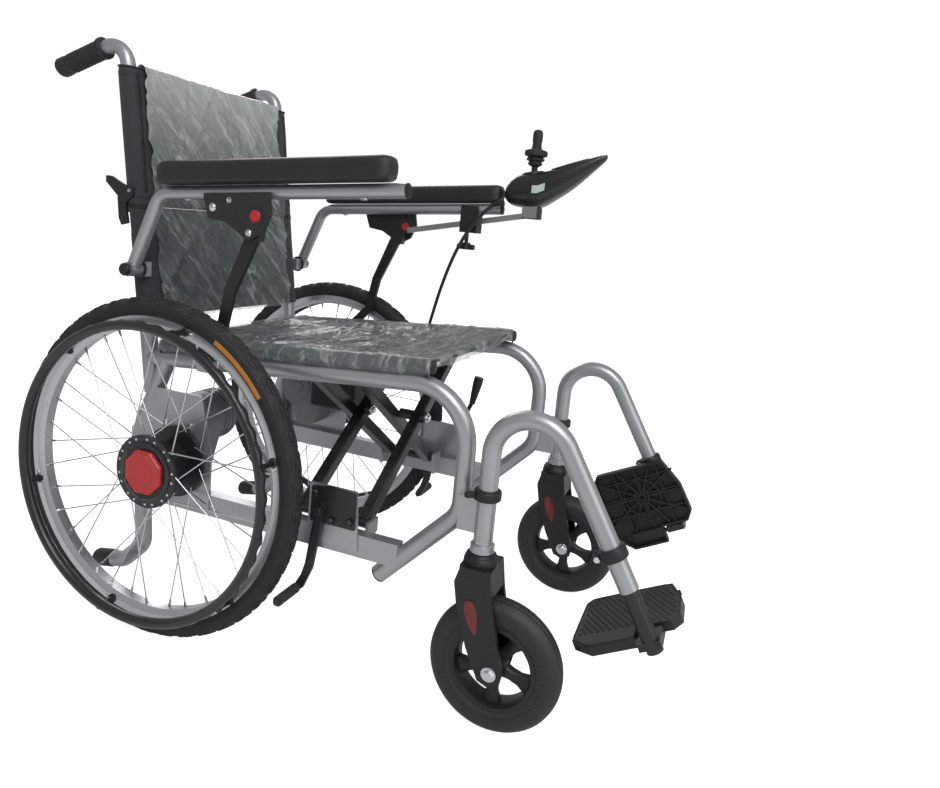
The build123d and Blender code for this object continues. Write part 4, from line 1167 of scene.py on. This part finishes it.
def make_plate_details(name, side):
    """Anti-slip studs above and star ribs below."""
    studs = Shape()
    for i in range(16):
        for j in range(15):
            a, w = 10 + i * 9.2 + (4.6 if j % 2 else 0), 18 + j * 7.6
            if not inside(PLATE_EDGE, a, w):
                continue
            rings = []
            for up, radius in ((-0.6, 2.9), (0.7, 2.7), (1.3, 1.7)):
                rings.append([
                    plate_point(side, a + radius * cos(k * pi / 4), w + radius * sin(k * pi / 4), up)
                    for k in range(8)
                ])
            studs.loft(rings)
    studs.piece(f"{name}_plate_studs", "grip_rubber", f"{name}_plate", slot="black_plastic")
    ribs = Shape()
    centre = (80.0, 71.0)
    for k in range(12):
        turn = radians(30 * k)
        reach = 4.0
        while inside(PLATE_EDGE, centre[0] + reach * cos(turn), centre[1] + reach * sin(turn)):
            reach += 2.0
        ca, sa = cos(turn), sin(turn)
        outline = [
            (centre[0] + r * ca - t * sa, centre[1] + r * sa + t * ca)
            for r, t in ((4, -1.4), (reach, -1.4), (reach, 1.4), (4, 1.4))
        ]
        ribs.loft([[plate_point(side, a, w, up) for a, w in outline] for up in (-4.5, -13.4)])
    for radius in (13.0, 34.0):
        loops = []
        for k in range(40):
            turn = 2 * pi * k / 40
            loops.append([
                plate_point(side, centre[0] + r * cos(turn), centre[1] + r * sin(turn), up)
                for r, up in (
                    (radius - 1.3, -4.5), (radius + 1.3, -4.5), (radius + 1.3, -13.2), (radius - 1.3, -13.2),
                )
            ])
        ribs.loft(loops, closed=True)
    ribs.piece(f"{name}_plate_ribs", "black_plastic", f"{name}_plate")
    lip = Shape()
    rings = []
    edge = [
        (1, 8), (32, -20), (96, -20), (96, 9), (145, 9), (157, 25), (155, 76), (137, 127), (11, 131),
        (1, 119),
    ]
    for (a, w), (b, v) in zip(edge, edge[1:] + edge[:1]):
        for t in (0.08, 0.5, 0.92):
            rings.append(plate_point(side, a + (b - a) * t, w + (v - w) * t, 0))
    lip.tube(rings + rings[:1], 1.3, 8, caps=False)
    lip.piece(f"{name}_plate_edge_bead", "black_plastic", f"{name}_plate", crease_angle=60)


for name, side in SIDES:
    make_plate_details(name, side)


# ------------------------------------------------------------------ brakes, braces, motors
def make_frame_details(name, side):
    """Brake bolts, the shoe's rubber, brace bolts, and the motor's ribs and bolts."""
    bolts = Shape()
    for fwd, z in ((338, 252), (276, 288), (306, 248)):
        bolts.lathe(at(side * 229, fwd, z), (side, 0, 0), [(-1, 0), (-1, 5.8), (3, 5.8), (4, 4.6), (4, 0)], 6)
    bolts.lathe(
        at(side * 236, 288, 262), (side, 0, 0), [(-1, 0), (-1, 6.6), (3.6, 6.6), (4.6, 5.2), (4.6, 0)], 6,
    )
    bolts.piece(f"{name}_brake_bolts", "black_metal", f"{name}_frame")
    turned(
        f"{name}_brake_shoe_sleeve", "grip_rubber", f"{name}_shoe", at(side * 236, 258, 129), (side, 0, 0),
        [
            (0, 6.1), (0, 7.4), (2, 8), (8, 8), (9, 7), (11, 7), (12, 8), (50, 8), (52, 6.5), (52.6, 0),
            (52, 0), (52, 6.1),
        ],
        20, slot="black_metal",
    )
    body = "brace_from_right" if side < 0 else "brace_from_left"
    heads = Shape()
    mine = (228.0, 338.0) if side < 0 else (205.0, 292.0)
    other = (205.0, 292.0) if side < 0 else (228.0, 338.0)
    for fwd, far in zip(mine, other):
        away = 1 if fwd > far else -1
        centre_z = (235 + rail_z(fwd) + RAIL_RISE) / 2 + 2
        heads.lathe(
            at(0, fwd + away * 17, centre_z), (0, -away, 0),
            [(-0.5, 0), (-0.5, 9), (3, 9), (4, 8), (4, 5.5), (7, 5.5), (8, 4.5), (8, 0)], 24,
        )
    heads.piece(f"{name}_brace_pivot_heads", "chrome", body)
    motor = Shape()
    rib = [(-2.2, 42), (-2.2, 44.6), (2.2, 44.6), (2.2, 42)]
    for x in (136, 146, 156):
        motor.lathe(at(side * x, *MOTOR_AXIS), (side, 0, 0), rib, 56, closed=True)
    motor.lathe(
        at(side * 128.4, *MOTOR_AXIS), (-side, 0, 0),
        [(0, 0), (0, 30), (2.4, 28), (2.8, 12), (4.4, 11), (4.4, 0)], 48,
    )
    for k in range(6):
        turn = radians(60 * k)
        spot = at(side * 165, MOTOR_AXIS[0] + 38 * cos(turn), MOTOR_AXIS[1] + 38 * sin(turn))
        motor.lathe(spot, (-side, 0, 0), [(0, 0), (0, 5), (3.5, 4.6), (3.5, 0)], 12)
    motor.piece(f"{name}_motor_ribs", "motor_grey", f"{name}_frame")
    caps = Shape()
    for k in range(4):
        turn = radians(90 * k + 45)
        spot = at(side * 222, 36 * cos(turn), 318 + 36 * sin(turn))
        caps.lathe(spot, (side, 0, 0), [(-1, 0), (-1, 5), (1.8, 4.8), (1.8, 0)], 6)
    caps.piece(f"{name}_motor_bolts", "chrome", f"{name}_frame")


for name, side in SIDES:
    make_frame_details(name, side)


# ------------------------------------------------------------------ upholstery
SEAT_REAR, SEAT_DEPTH = -49.0, 486.0
FILM_REAR, FILM_LENGTH = -52.0, 520.0
FRONT_EDGE = 436.0         # where the film turns down


def ridges(x, y, angle, length, width, seed):
    """Creases that run at an angle in the sheet: 1 on a crease, 0 between."""
    c, s = cos(angle), sin(angle)
    u, v = (x * c + y * s) / length, (y * c - x * s) / width
    swirl = wander(u * 0.7, v * 0.35, seed + 7.3)
    line = wander(u + swirl * 0.8, v + swirl * 1.5, seed)
    return max(0.0, 1.0 - abs(line) * 5.0) ** 1.5


def seat_section(side, fwd, lift, spread):
    """Section of the seat's cloth from the middle, over the rail and round its outer side."""
    centre_z = rail_z(fwd) + RAIL_RISE
    radius = RAIL_R + 1.4 + lift
    points = []
    for k in range(spread):
        x = FRAME_X * k / spread
        sag = 11.0 * (1 - (x / FRAME_X) ** 2) * smooth((fwd + 50) / 60) * smooth((470 - fwd) / 60)
        points.append((side * x, centre_z + radius - sag))
    for k in range(9):
        lean = radians(90 - 150 * k / 8)
        points.append((side * (FRAME_X + radius * cos(lean)), centre_z + radius * sin(lean)))
    return points


def make_seat_cloth(name, side):
    """Half of the seat's nylon with its rolled front and rear hems."""
    cloth = Shape()
    rows = []
    for i in range(62):
        fwd = SEAT_REAR + SEAT_DEPTH * i / 61
        rows.append([
            at(x, fwd, z + 0.7 * wander(x * 0.02, fwd * 0.02, 3.0))
            for x, z in seat_section(side, fwd, 0.0, 26)
        ])
    # Both hems roll under.
    rear, front = rows[0], rows[-1]
    for turn in (0.6, 1.3, 2.0, 2.7):
        out, under = 3.2 * sin(turn) * MM, 3.2 * (1 - cos(turn)) * MM
        rows.insert(0, [p + Vector((0, out, -under)) for p in rear])
        rows.append([p + Vector((0, -out, -under)) for p in front])
    cloth.loft(rows, caps=False, open_ring=True)
    obj = cloth.piece(f"{name}_seat_cloth", "nylon", None, thickness=1.5, crease_angle=70)
    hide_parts("seat_sling")
    return obj


def make_seat_film(name, side):
    """Half of the seat's protective film: creased across, and drooping over the front edge."""
    film = Shape()
    rows = []
    columns = 54
    for i in range(120):
        travel = FILM_REAR + FILM_LENGTH * i / 119
        over = max(0.0, travel - FRONT_EDGE)
        drop = 0.0
        fwd = travel
        if over:
            turn = min(over / 9.0, pi / 2)
            fwd = FRONT_EDGE + 6.0 * sin(turn)
            drop = 6.0 * (1 - cos(turn)) + max(0.0, over - 14.0)
        base = seat_section(side, min(fwd, 440.0), 2.6, columns - 8)
        row = []
        for x, z in base:
            rise = 3.4 * ridges(x, travel, 0.12, 150, 34, 1.0) + 2.0 * ridges(x, travel, -0.35, 90, 22, 5.0)
            rise += 1.4 * wander(x * 0.012, travel * 0.02, 9.0)
            flutter = 0.0
            hang = smooth(over / 20.0)
            if hang:
                flutter = hang * (3.2 * sin(x * 0.075) + 2.4 * wander(x * 0.05, travel * 0.03, 2.0))
                rise *= 1 - hang
            outward = smooth((abs(x) - 190) / 25)
            row.append(at(
                x + (0.5 * rise * outward) * (1 if x > 0 else -1),
                fwd + flutter,
                z - drop * (0.75 + 0.35 * wander(x * 0.022, 0.0, 4.0)) + rise * (1 - outward),
            ))
        rows.append(row)
    film.loft(rows, caps=False, open_ring=True)
    obj = film.piece(f"{name}_seat_film", "seat_film", None, thickness=0.3, crease_angle=80)
    return obj


for name, side, body in (("right", -1, "brace_from_left"), ("left", 1, "brace_from_right")):
    for half in (make_seat_cloth(name, side), make_seat_film(name, side)):
        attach(half, body)
        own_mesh(half)


BACK_LOW, BACK_SPLIT, BACK_TOP = 512.0, 698.0, 925.0
POST_COVER = 17.5


def back_section(z, lift, columns):
    """Section of the back's cloth: round the front of each post, with a hollow between them."""
    points = []
    radius = POST_COVER + lift
    for k in range(7):
        lean = radians(-20 + 100 * k / 6)
        points.append((-FRAME_X - radius * cos(lean) * 0.9, radius * sin(lean)))
    for k in range(1, columns):
        x = -FRAME_X + 2 * FRAME_X * k / columns
        hollow = 9.0 * (1 - (x / FRAME_X) ** 2)
        points.append((x, radius - hollow))
    for k in range(7):
        lean = radians(80 - 100 * k / 6)
        points.append((FRAME_X + radius * cos(lean) * 0.9, radius * sin(lean)))
    return [(x, post_fwd(z) + ahead) for x, ahead in points]


def make_back_cloth(name, low, high, body):
    """Part of the back's nylon, above or below the folding hinge."""
    cloth = Shape()
    rows = []
    steps = 30
    for i in range(steps + 1):
        z = low + (high - low) * i / steps
        rows.append([
            at(x, fwd + 0.8 * wander(x * 0.02, z * 0.02, 6.0), z) for x, fwd in back_section(z, 0.0, 40)
        ])
    cloth.loft(rows, caps=False, open_ring=True)
    obj = cloth.piece(f"{name}_back_cloth", "nylon", body, thickness=1.5, crease_angle=70)
    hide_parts("back_sling")
    hem = Shape()
    for z in (low + 1.2, high - 1.2):
        line = [at(x, fwd, z) for x, fwd in back_section(z, 0.4, 40)]
        hem.tube(line, 2.0, 8)
    for z in (low + 14, high - 14):
        line = [at(x, fwd, z) for x, fwd in back_section(z, 1.0, 40)]
        for a, b in zip(line, line[1:]):
            hem.tube([a.lerp(b, 0.12), a.lerp(b, 0.5), a.lerp(b, 0.88)], 0.55, 6)
    seam = hem.piece(f"{name}_back_hem", "sleeve_vinyl", body, crease_angle=60)
    return [obj, seam]


def film_section(z, columns):
    """Section of the back's film, which stops short of the posts on wavering edges."""
    points = []
    near = -193.0 + 5 * wander(z * 0.013, 3.0, 0.0) + 4 * wander(z * 0.05, 5.0, 0.0)
    far = 180.0 + 8 * wander(z * 0.011, 9.0, 0.0) + 5 * wander(z * 0.04, 7.0, 0.0)
    for k in range(columns + 1):
        x = near + (far - near) * k / columns
        points.append((x, post_fwd(z) + POST_COVER + 2.2 - 9.0 * (1 - (x / FRAME_X) ** 2)))
    return points


def back_film_rise(x, z):
    """How far the film stands off the cloth in its folds."""
    rise = 4.6 * ridges(x, z, -0.72, 230, 46, 11.0) + 3.4 * ridges(x, z, -1.15, 200, 36, 14.0)
    rise += 2.4 * ridges(x, z, 0.95, 170, 40, 21.0)
    rise += 4.0 * (0.5 + 0.5 * wander(x * 0.008, z * 0.006, 2.5))
    # One long fold runs down from the upper far corner.
    line = (z - 905.0) * 0.52 + (x - 96.0)
    rise += 6.5 * exp(-((line / 16.0) ** 2)) * smooth((z - 590) / 60)
    low_line = (z - 640.0) * 0.85 - (x + 118.0)
    rise += 5.0 * exp(-((low_line / 14.0) ** 2)) * smooth((700 - z) / 40)
    return rise


def make_back_film(name, low, high, body, over_top):
    """Protective film over part of the back; the upper one turns over the top edge."""
    film = Shape()
    rows = []
    columns = 96
    for i in range(96):
        t = i / 95
        z = low + (high - low) * t
        rows.append([
            at(x, fwd + back_film_rise(x, z) * smooth((z - low + 8) / 16 if over_top else 1.0), z)
            for x, fwd in film_section(z, columns)
        ])
    if over_top:
        edge = film_section(high, columns)
        for k in range(1, 26):
            turn = min(k / 9.0, 1.0) * pi
            drop = max(0.0, k - 9) * 3.2
            row = []
            for x, fwd in edge:
                lift = 1.0 + 0.35 * wander(x * 0.02, 1.0, 8.0)
                wave = 2.0 * wander(x * 0.035, k * 0.12, 12.0)
                start = fwd + back_film_rise(x, high)
                depth = start - (fwd - 12.0)
                row.append(at(
                    x,
                    start - depth * (1 - cos(turn)) / 2 + wave * smooth(k / 6.0),
                    high + 7.5 * lift * sin(turn) - drop * (1 + 0.3 * wander(x * 0.015, 2.0, 1.0)),
                ))
            rows.append(row)
    film.loft(rows, caps=False, open_ring=True)
    obj = film.piece(f"{name}_back_film", "back_film", body, thickness=0.3, crease_angle=80)
    return [obj]


LOWER_BACK = make_back_cloth("lower", BACK_LOW, BACK_SPLIT - 1, "right_frame")
LOWER_BACK += make_back_film("lower", BACK_LOW - 4, BACK_SPLIT - 0.5, "right_frame", False)
UPPER_BACK = make_back_cloth("upper", BACK_SPLIT + 1, BACK_TOP, "right_back_half")
UPPER_BACK += make_back_film("upper", BACK_SPLIT + 0.5, BACK_TOP, "right_back_half", True)
for part in LOWER_BACK + UPPER_BACK:
    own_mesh(part)


def make_post_sleeves(name, side):
    """Vinyl sleeves on the back posts, each with a welted seam at its rear."""
    for label, low, high, half_fwd, body in (
        ("upper_sleeve", 716.0, 922.0, 18.6, f"{name}_back_half"),
        ("lower_sleeve", 522.0, 655.0, 17.0, f"{name}_frame"),
    ):
        sleeve = Shape()
        rings = []
        for i in range(34):
            t = i / 33
            z = low + (high - low) * t
            end = min(t, 1 - t) * (high - low)
            trim = 1.0 - 0.12 * (1 - smooth(end / 4.0))
            ring = []
            for k in range(32):
                turn = 2 * pi * k / 32
                pucker = 1 + 0.018 * wander(cos(turn) * 2, sin(turn) * 2, z * 0.03)
                ring.append(at(
                    side * (FRAME_X - 0.2 + 14.7 * trim * cos(turn)),
                    post_fwd(z) + half_fwd * trim * pucker * sin(turn),
                    z,
                ))
            rings.append(ring)
        sleeve.loft(rings)
        sleeve.tube(
            [
                at(side * FRAME_X, post_fwd(z) - half_fwd - 0.6, z)
                for z in [low + 2 + (high - low - 4) * i / 20 for i in range(21)]
            ],
            1.6, 8,
        )
        sleeve.piece(f"{name}_{label}", "sleeve_vinyl", body, crease_angle=60)


for name, side in SIDES:
    make_post_sleeves(name, side)


# ------------------------------------------------------------------ joystick
POD_FLOOR = [(385, 778), (392, 770), (404, 764), (456, 763), (470, 772), (520, 808), (578, 866), (580, 871)]
POD_ROOF = [
    (385, 796), (388, 806), (394, 816), (404, 825), (418, 829.5), (437, 832.5), (458, 836), (480, 842.5),
    (566, 875), (580, 877)
]
POD_WIDTH = [(385, 22), (392, 30), (410, 35), (450, 35), (500, 29.5), (545, 18.5), (572, 10), (580, 6)]


def pod_point(fwd, turn, out=0.0):
    """A point of the joystick case's skin, moved outwards by out."""
    floor, roof, wide = (along_line(line, fwd) for line in (POD_FLOOR, POD_ROOF, POD_WIDTH))
    c, s = cos(turn), sin(turn)
    x = copysign(abs(c) ** 0.62, c) * wide
    z = copysign(abs(s) ** 0.7, s) * (roof - floor) / 2
    return at(STICK_PIVOT[0] + x + out * c, fwd, (floor + roof) / 2 + z + out * s)


def make_pod():
    """Drop-shaped case with a well for the stick."""
    pod = Shape()
    stations = [385.2, 387, 391, 398, 408, 420, 434, 448, 462, 478, 496, 514, 532, 549, 562, 572, 577, 579.8]
    rings = []
    for fwd in stations:
        close = 1.0
        if fwd < 398:
            close = 0.72 + 0.28 * sqrt(max(0.0, 1 - ((398 - fwd) / 13) ** 2))
        ring = [pod_point(fwd, 2 * pi * k / 36) for k in range(36)]
        middle = sum(ring, Vector()) / 36
        rings.append([middle + (p - middle) * close for p in ring])
    pod.loft(rings)
    obj = pod.piece("joystick_case", "gloss_plastic", None, subdivide=1, crease_angle=50)
    cutter = turned(
        "well_cutter", "gloss_plastic", None, at(STICK_PIVOT[0], STICK_PIVOT[1], 786), (0, 0, 1),
        [(0, 0), (0, 19), (90, 19), (90, 0)], 40, slot=None,
    )
    carve = obj.modifiers.new("well", "BOOLEAN")
    carve.operation = "DIFFERENCE"
    carve.solver = "EXACT"
    carve.object = cutter
    apply_modifiers(obj)
    bpy.data.objects.remove(cutter)
    round_normals(obj.data, 40)
    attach(obj, "joystick")
    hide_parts("joystick_pod")


def roof_point(across, fwd, up):
    """A point above the case's sloping roof."""
    return at(STICK_PIVOT[0] + across, fwd, along_line(POD_ROOF, fwd) + up)


def make_pod_details():
    """Collar and bellows of the stick, control panel with keys and lamps, and the side label."""
    x, fwd, z = STICK_PIVOT
    turned(
        "stick_collar", "black_plastic", "joystick", at(x, fwd, 827), (0, 0.2, 1),
        [(-6, 19.1), (-6, 22), (4.0, 24.4), (6.6, 23.4), (7.4, 21.6), (6.8, 19.8), (3, 19.1)], 56,
        closed=True,
    )
    bellows = Shape()
    profile = []
    for k in range(41):
        lean = radians(46 - 44 * k / 40)
        size = 31.5 + 0.9 * sin(k * 1.25)
        profile.append((size * cos(lean), size * sin(lean)))
    profile += [(31.0, 0), (27, 0), (26.0, 12), (21.0, 21.0)]
    bellows.lathe(at(x, fwd, z), (0, 0, 1), profile, 48, closed=False)
    bellows.piece("stick_bellows", "grip_rubber", "stick", crease_angle=60)
    knob = Shape()
    outline = [
        (31, 0), (32, 6), (45, 6.2), (47, 9.5), (49.5, 14), (53, 14.5), (54.5, 12.5), (56, 13), (58, 17.6),
        (61.5, 18.4), (63, 15), (65, 16.5), (67, 22.2), (72, 23.4), (77, 22), (79, 15), (80.5, 10.5),
        (84, 9.6), (92, 9), (96, 9.8), (106, 10), (113, 9.6), (116.5, 7.5), (118, 4), (118.2, 0),
    ]
    knob.lathe(at(x, fwd, z), (0, 0, 1), outline, 48)
    handle = knob.piece("stick_handle", "grip_rubber", "stick", crease_angle=50)
    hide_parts("joystick_stick")
    socket = Shape()
    corners = ((-16, 424), (16, 424), (16, 458), (-16, 458))
    socket.slab([at(x + across, f, 742) for across, f in corners], Vector((0, 0, 24 * MM)))
    socket.piece("case_foot", "black_plastic", "joystick", bevel=1.5)
    vents = Shape()
    for f in (436, 442, 448, 454):
        for sense in (1, -1):
            turns = [radians(90 + sense * (100 + 4 * k)) for k in range(9)]
            vents.loft([
                [
                    pod_point(f + shift, turn, out)
                    for shift, out in ((-1, -0.6), (-0.8, 1.1), (0.8, 1.1), (1, -0.6))
                ] for turn in turns
            ])
    vents.piece("case_vents", "black_plastic", "joystick", crease_angle=50)
    panel = Shape()
    outline = [
        (17, 476), (19, 488), (17, 512), (12.5, 534), (8, 545), (-8, 545), (-12.5, 534), (-17, 512),
        (-19, 488), (-17, 476),
    ]
    panel.loft([[roof_point(w, f, up) for w, f in outline] for up in (-2.0, 1.0)])
    panel.piece("case_panel", "panel_grey", "joystick", bevel=0.4)
    keys = Shape()
    for w, f, radius in ((-11, 505, 3.6), (11, 505, 3.6), (-9, 519, 3.0), (9, 519, 3.0)):
        keys.lathe(
            roof_point(w, f, 0.8), (0, 0.37, 1),
            [(-0.4, 0), (-0.4, radius), (0.7, radius), (1.1, radius - 0.7), (1.1, 0)], 20,
        )
    keys.piece("case_keys", "key_grey", "joystick")
    lamps = Shape()
    for w in (-8, -4, 0, 4, 8):
        lamps.lathe(
            roof_point(w, 529 + abs(w) * 0.2, 0.8), (0, 0.37, 1),
            [(-0.4, 0), (-0.4, 1.3), (0.4, 1.2), (0.7, 0.7), (0.7, 0)], 12,
        )
    lamps.piece("case_lamps", "lamp_green", "joystick")
    label = Shape()
    rings = []
    for k in range(9):
        f = 445 + 25 * k / 8
        rings.append([
            pod_point(f, radians(turn), out)
            for turn, out in ((173, -0.3), (173, 0.45), (179, 0.45), (185, 0.45), (185, -0.3))
        ])
    label.loft(rings)
    label.piece("case_label", "case_label", "joystick")
    screws = Shape()
    for fwd_at in (402, 452):
        for w in (-24, 24):
            screws.lathe(
                at(x + w, fwd_at, 776.5), (0, 0, -1), [(-1, 0), (-1, 3.4), (1.2, 3.2), (1.6, 2.2), (1.6, 0)],
                12,
            )
    screws.piece("case_screws", "chrome", "joystick")


make_pod()
make_pod_details()


# ------------------------------------------------------------------ cable
CABLE_POINTS = [
    (220, 384, 768),
    (219, 367, 764),
    (217, 343, 738),
    (217, 318, 704),
    (218, 297, 662),
    (222, 279, 615),
    (227, 264, 568),
    (232, 252, 523),
    (235, 241, 480),
    (232, 226, 446),
    (224, 204, 421),
    (211, 174, 408),
    (195, 142, 402),
]
CABLE_R = 3.5


def cable_line():
    """Points along the cable's smooth line."""
    curve = bpy.data.curves.new("cable_line", "CURVE")
    curve.dimensions = "3D"
    curve.resolution_u = 10
    spline = curve.splines.new("NURBS")
    spline.points.add(len(CABLE_POINTS) - 1)
    for point, place in zip(spline.points, CABLE_POINTS):
        point.co = (*at(*place), 1.0)
    spline.order_u = 3
    spline.use_endpoint_u = True
    holder = bpy.data.objects.new("cable_line", curve)
    bpy.context.collection.objects.link(holder)
    bpy.context.view_layer.update()
    line = bpy.data.meshes.new_from_object(holder.evaluated_get(bpy.context.evaluated_depsgraph_get()))
    points = [v.co.copy() for v in line.vertices]
    bpy.data.objects.remove(holder)
    return points


def make_cable():
    """Lead from the joystick case to the controller case, with a ribbed relief at each end."""
    line = cable_line()
    tube = Shape()
    tube.tube(line, CABLE_R, 20)
    cable = tube.piece("joystick_lead", "cable_sheath", None, crease_angle=60)
    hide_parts("joystick_cable")
    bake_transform(cable)
    for label, spot, ahead, body in (
        ("case_relief", line[0], line[2] - line[0], "joystick"),
        ("controller_relief", line[-1], line[-3] - line[-1], "left_frame"),
    ):
        relief = Shape()
        profile = [(-6, 3.6), (-6, 6.6), (-1, 6.8)]
        for k in range(6):
            low = -1 + k * 3.6
            radius = 6.2 - 0.36 * k
            profile += [
                (low + 0.4, radius - 0.8), (low + 1.0, radius), (low + 2.6, radius),
                (low + 3.2, radius - 0.8),
            ]
        profile += [(21, 4.2), (21, 3.6)]
        relief.lathe(spot, ahead, profile, 24, closed=True)
        relief.piece(label, "cable_sheath", body, crease_angle=50)


make_cable()


# ------------------------------------------------------------------ camera, light, floor
def make_studio():
    """Pale floor, soft lights and the three-quarter camera."""
    world = bpy.data.worlds.new("studio")
    world.use_nodes = True
    sky = world.node_tree
    seen = add(sky, "ShaderNodeLightPath").outputs["Is Camera Ray"]
    sky.nodes["Background"].inputs["Color"].default_value = (1, 1, 1, 1)
    sky.links.new(
        maths(sky, "ADD", maths(sky, "MULTIPLY", seen, 0.66), 0.38),
        sky.nodes["Background"].inputs["Strength"],
    )
    bpy.context.scene.world = world
    bpy.context.scene.view_settings.view_transform = "Standard"
    floor_mesh = bpy.data.meshes.new("floor")
    reach = 14.0
    floor_mesh.from_pydata(
        [(-reach, -reach, 0), (reach, -reach, 0), (reach, reach, 0), (-reach, reach, 0)], [], [(0, 1, 2, 3)],
    )
    floor = bpy.data.objects.new("floor", floor_mesh)
    bpy.context.collection.objects.link(floor)
    material, tree, shader = start_finish("pale_floor")
    coord = add(tree, "ShaderNodeTexCoord")
    mottle = add(
        tree, "ShaderNodeTexNoise", {"Scale": 2.0, "Detail": 3.0}, {"Vector": coord.outputs["Object"]},
    )
    tone = ramp(tree, mottle.outputs["Fac"], 0.2, 0.8, (0.86, 0.86, 0.86, 1), (0.9, 0.9, 0.9, 1))
    tree.links.new(tone, shader.inputs["Base Color"])
    shader.inputs["Roughness"].default_value = 0.9
    # The floor reads as white paper to the eye of the camera and lights nothing.
    seen = add(tree, "ShaderNodeLightPath").outputs["Is Camera Ray"]
    tree.links.new(maths(tree, "MULTIPLY", seen, 0.85), shader.inputs["Emission Strength"])
    shader.inputs["Emission Color"].default_value = (1, 1, 1, 1)
    shader.inputs["Specular IOR Level"].default_value = 0.1
    floor_mesh.materials.append(material)
    lights = (
        ("key", (-2.2, -1.6, 3.0), 2.2, 60.0),
        ("fill", (-1.2, -3.4, 1.6), 2.4, 22.0),
        ("rim", (2.6, 2.4, 2.6), 2.0, 46.0),
    )
    for label, spot, size, power in lights:
        lamp = bpy.data.lights.new(label, "AREA")
        lamp.size = size
        lamp.energy = power
        obj = bpy.data.objects.new(label, lamp)
        obj.location = spot
        obj.rotation_mode = "QUATERNION"
        obj.rotation_quaternion = (Vector((0, 0, 0.45)) - Vector(spot)).to_track_quat("-Z", "Y")
        bpy.context.collection.objects.link(obj)
    lens = bpy.data.cameras.new("camera")
    lens.sensor_width = 36.0
    lens.lens = 27.41
    lens.shift_x = 0.002
    lens.shift_y = -0.080
    camera = bpy.data.objects.new("camera", lens)
    right = Vector((0.3492, -0.9322, 0.0949)).normalized()
    forward = Vector((0.9327, 0.3362, -0.1304)).normalized()
    up = right.cross(forward)
    aim = Matrix((right, up, -forward)).transposed().to_4x4()
    camera.matrix_world = Matrix.Translation((-1.157, AXLE_Y - 0.834, 0.720)) @ aim
    bpy.context.collection.objects.link(camera)
    bpy.context.scene.camera = camera


make_studio()
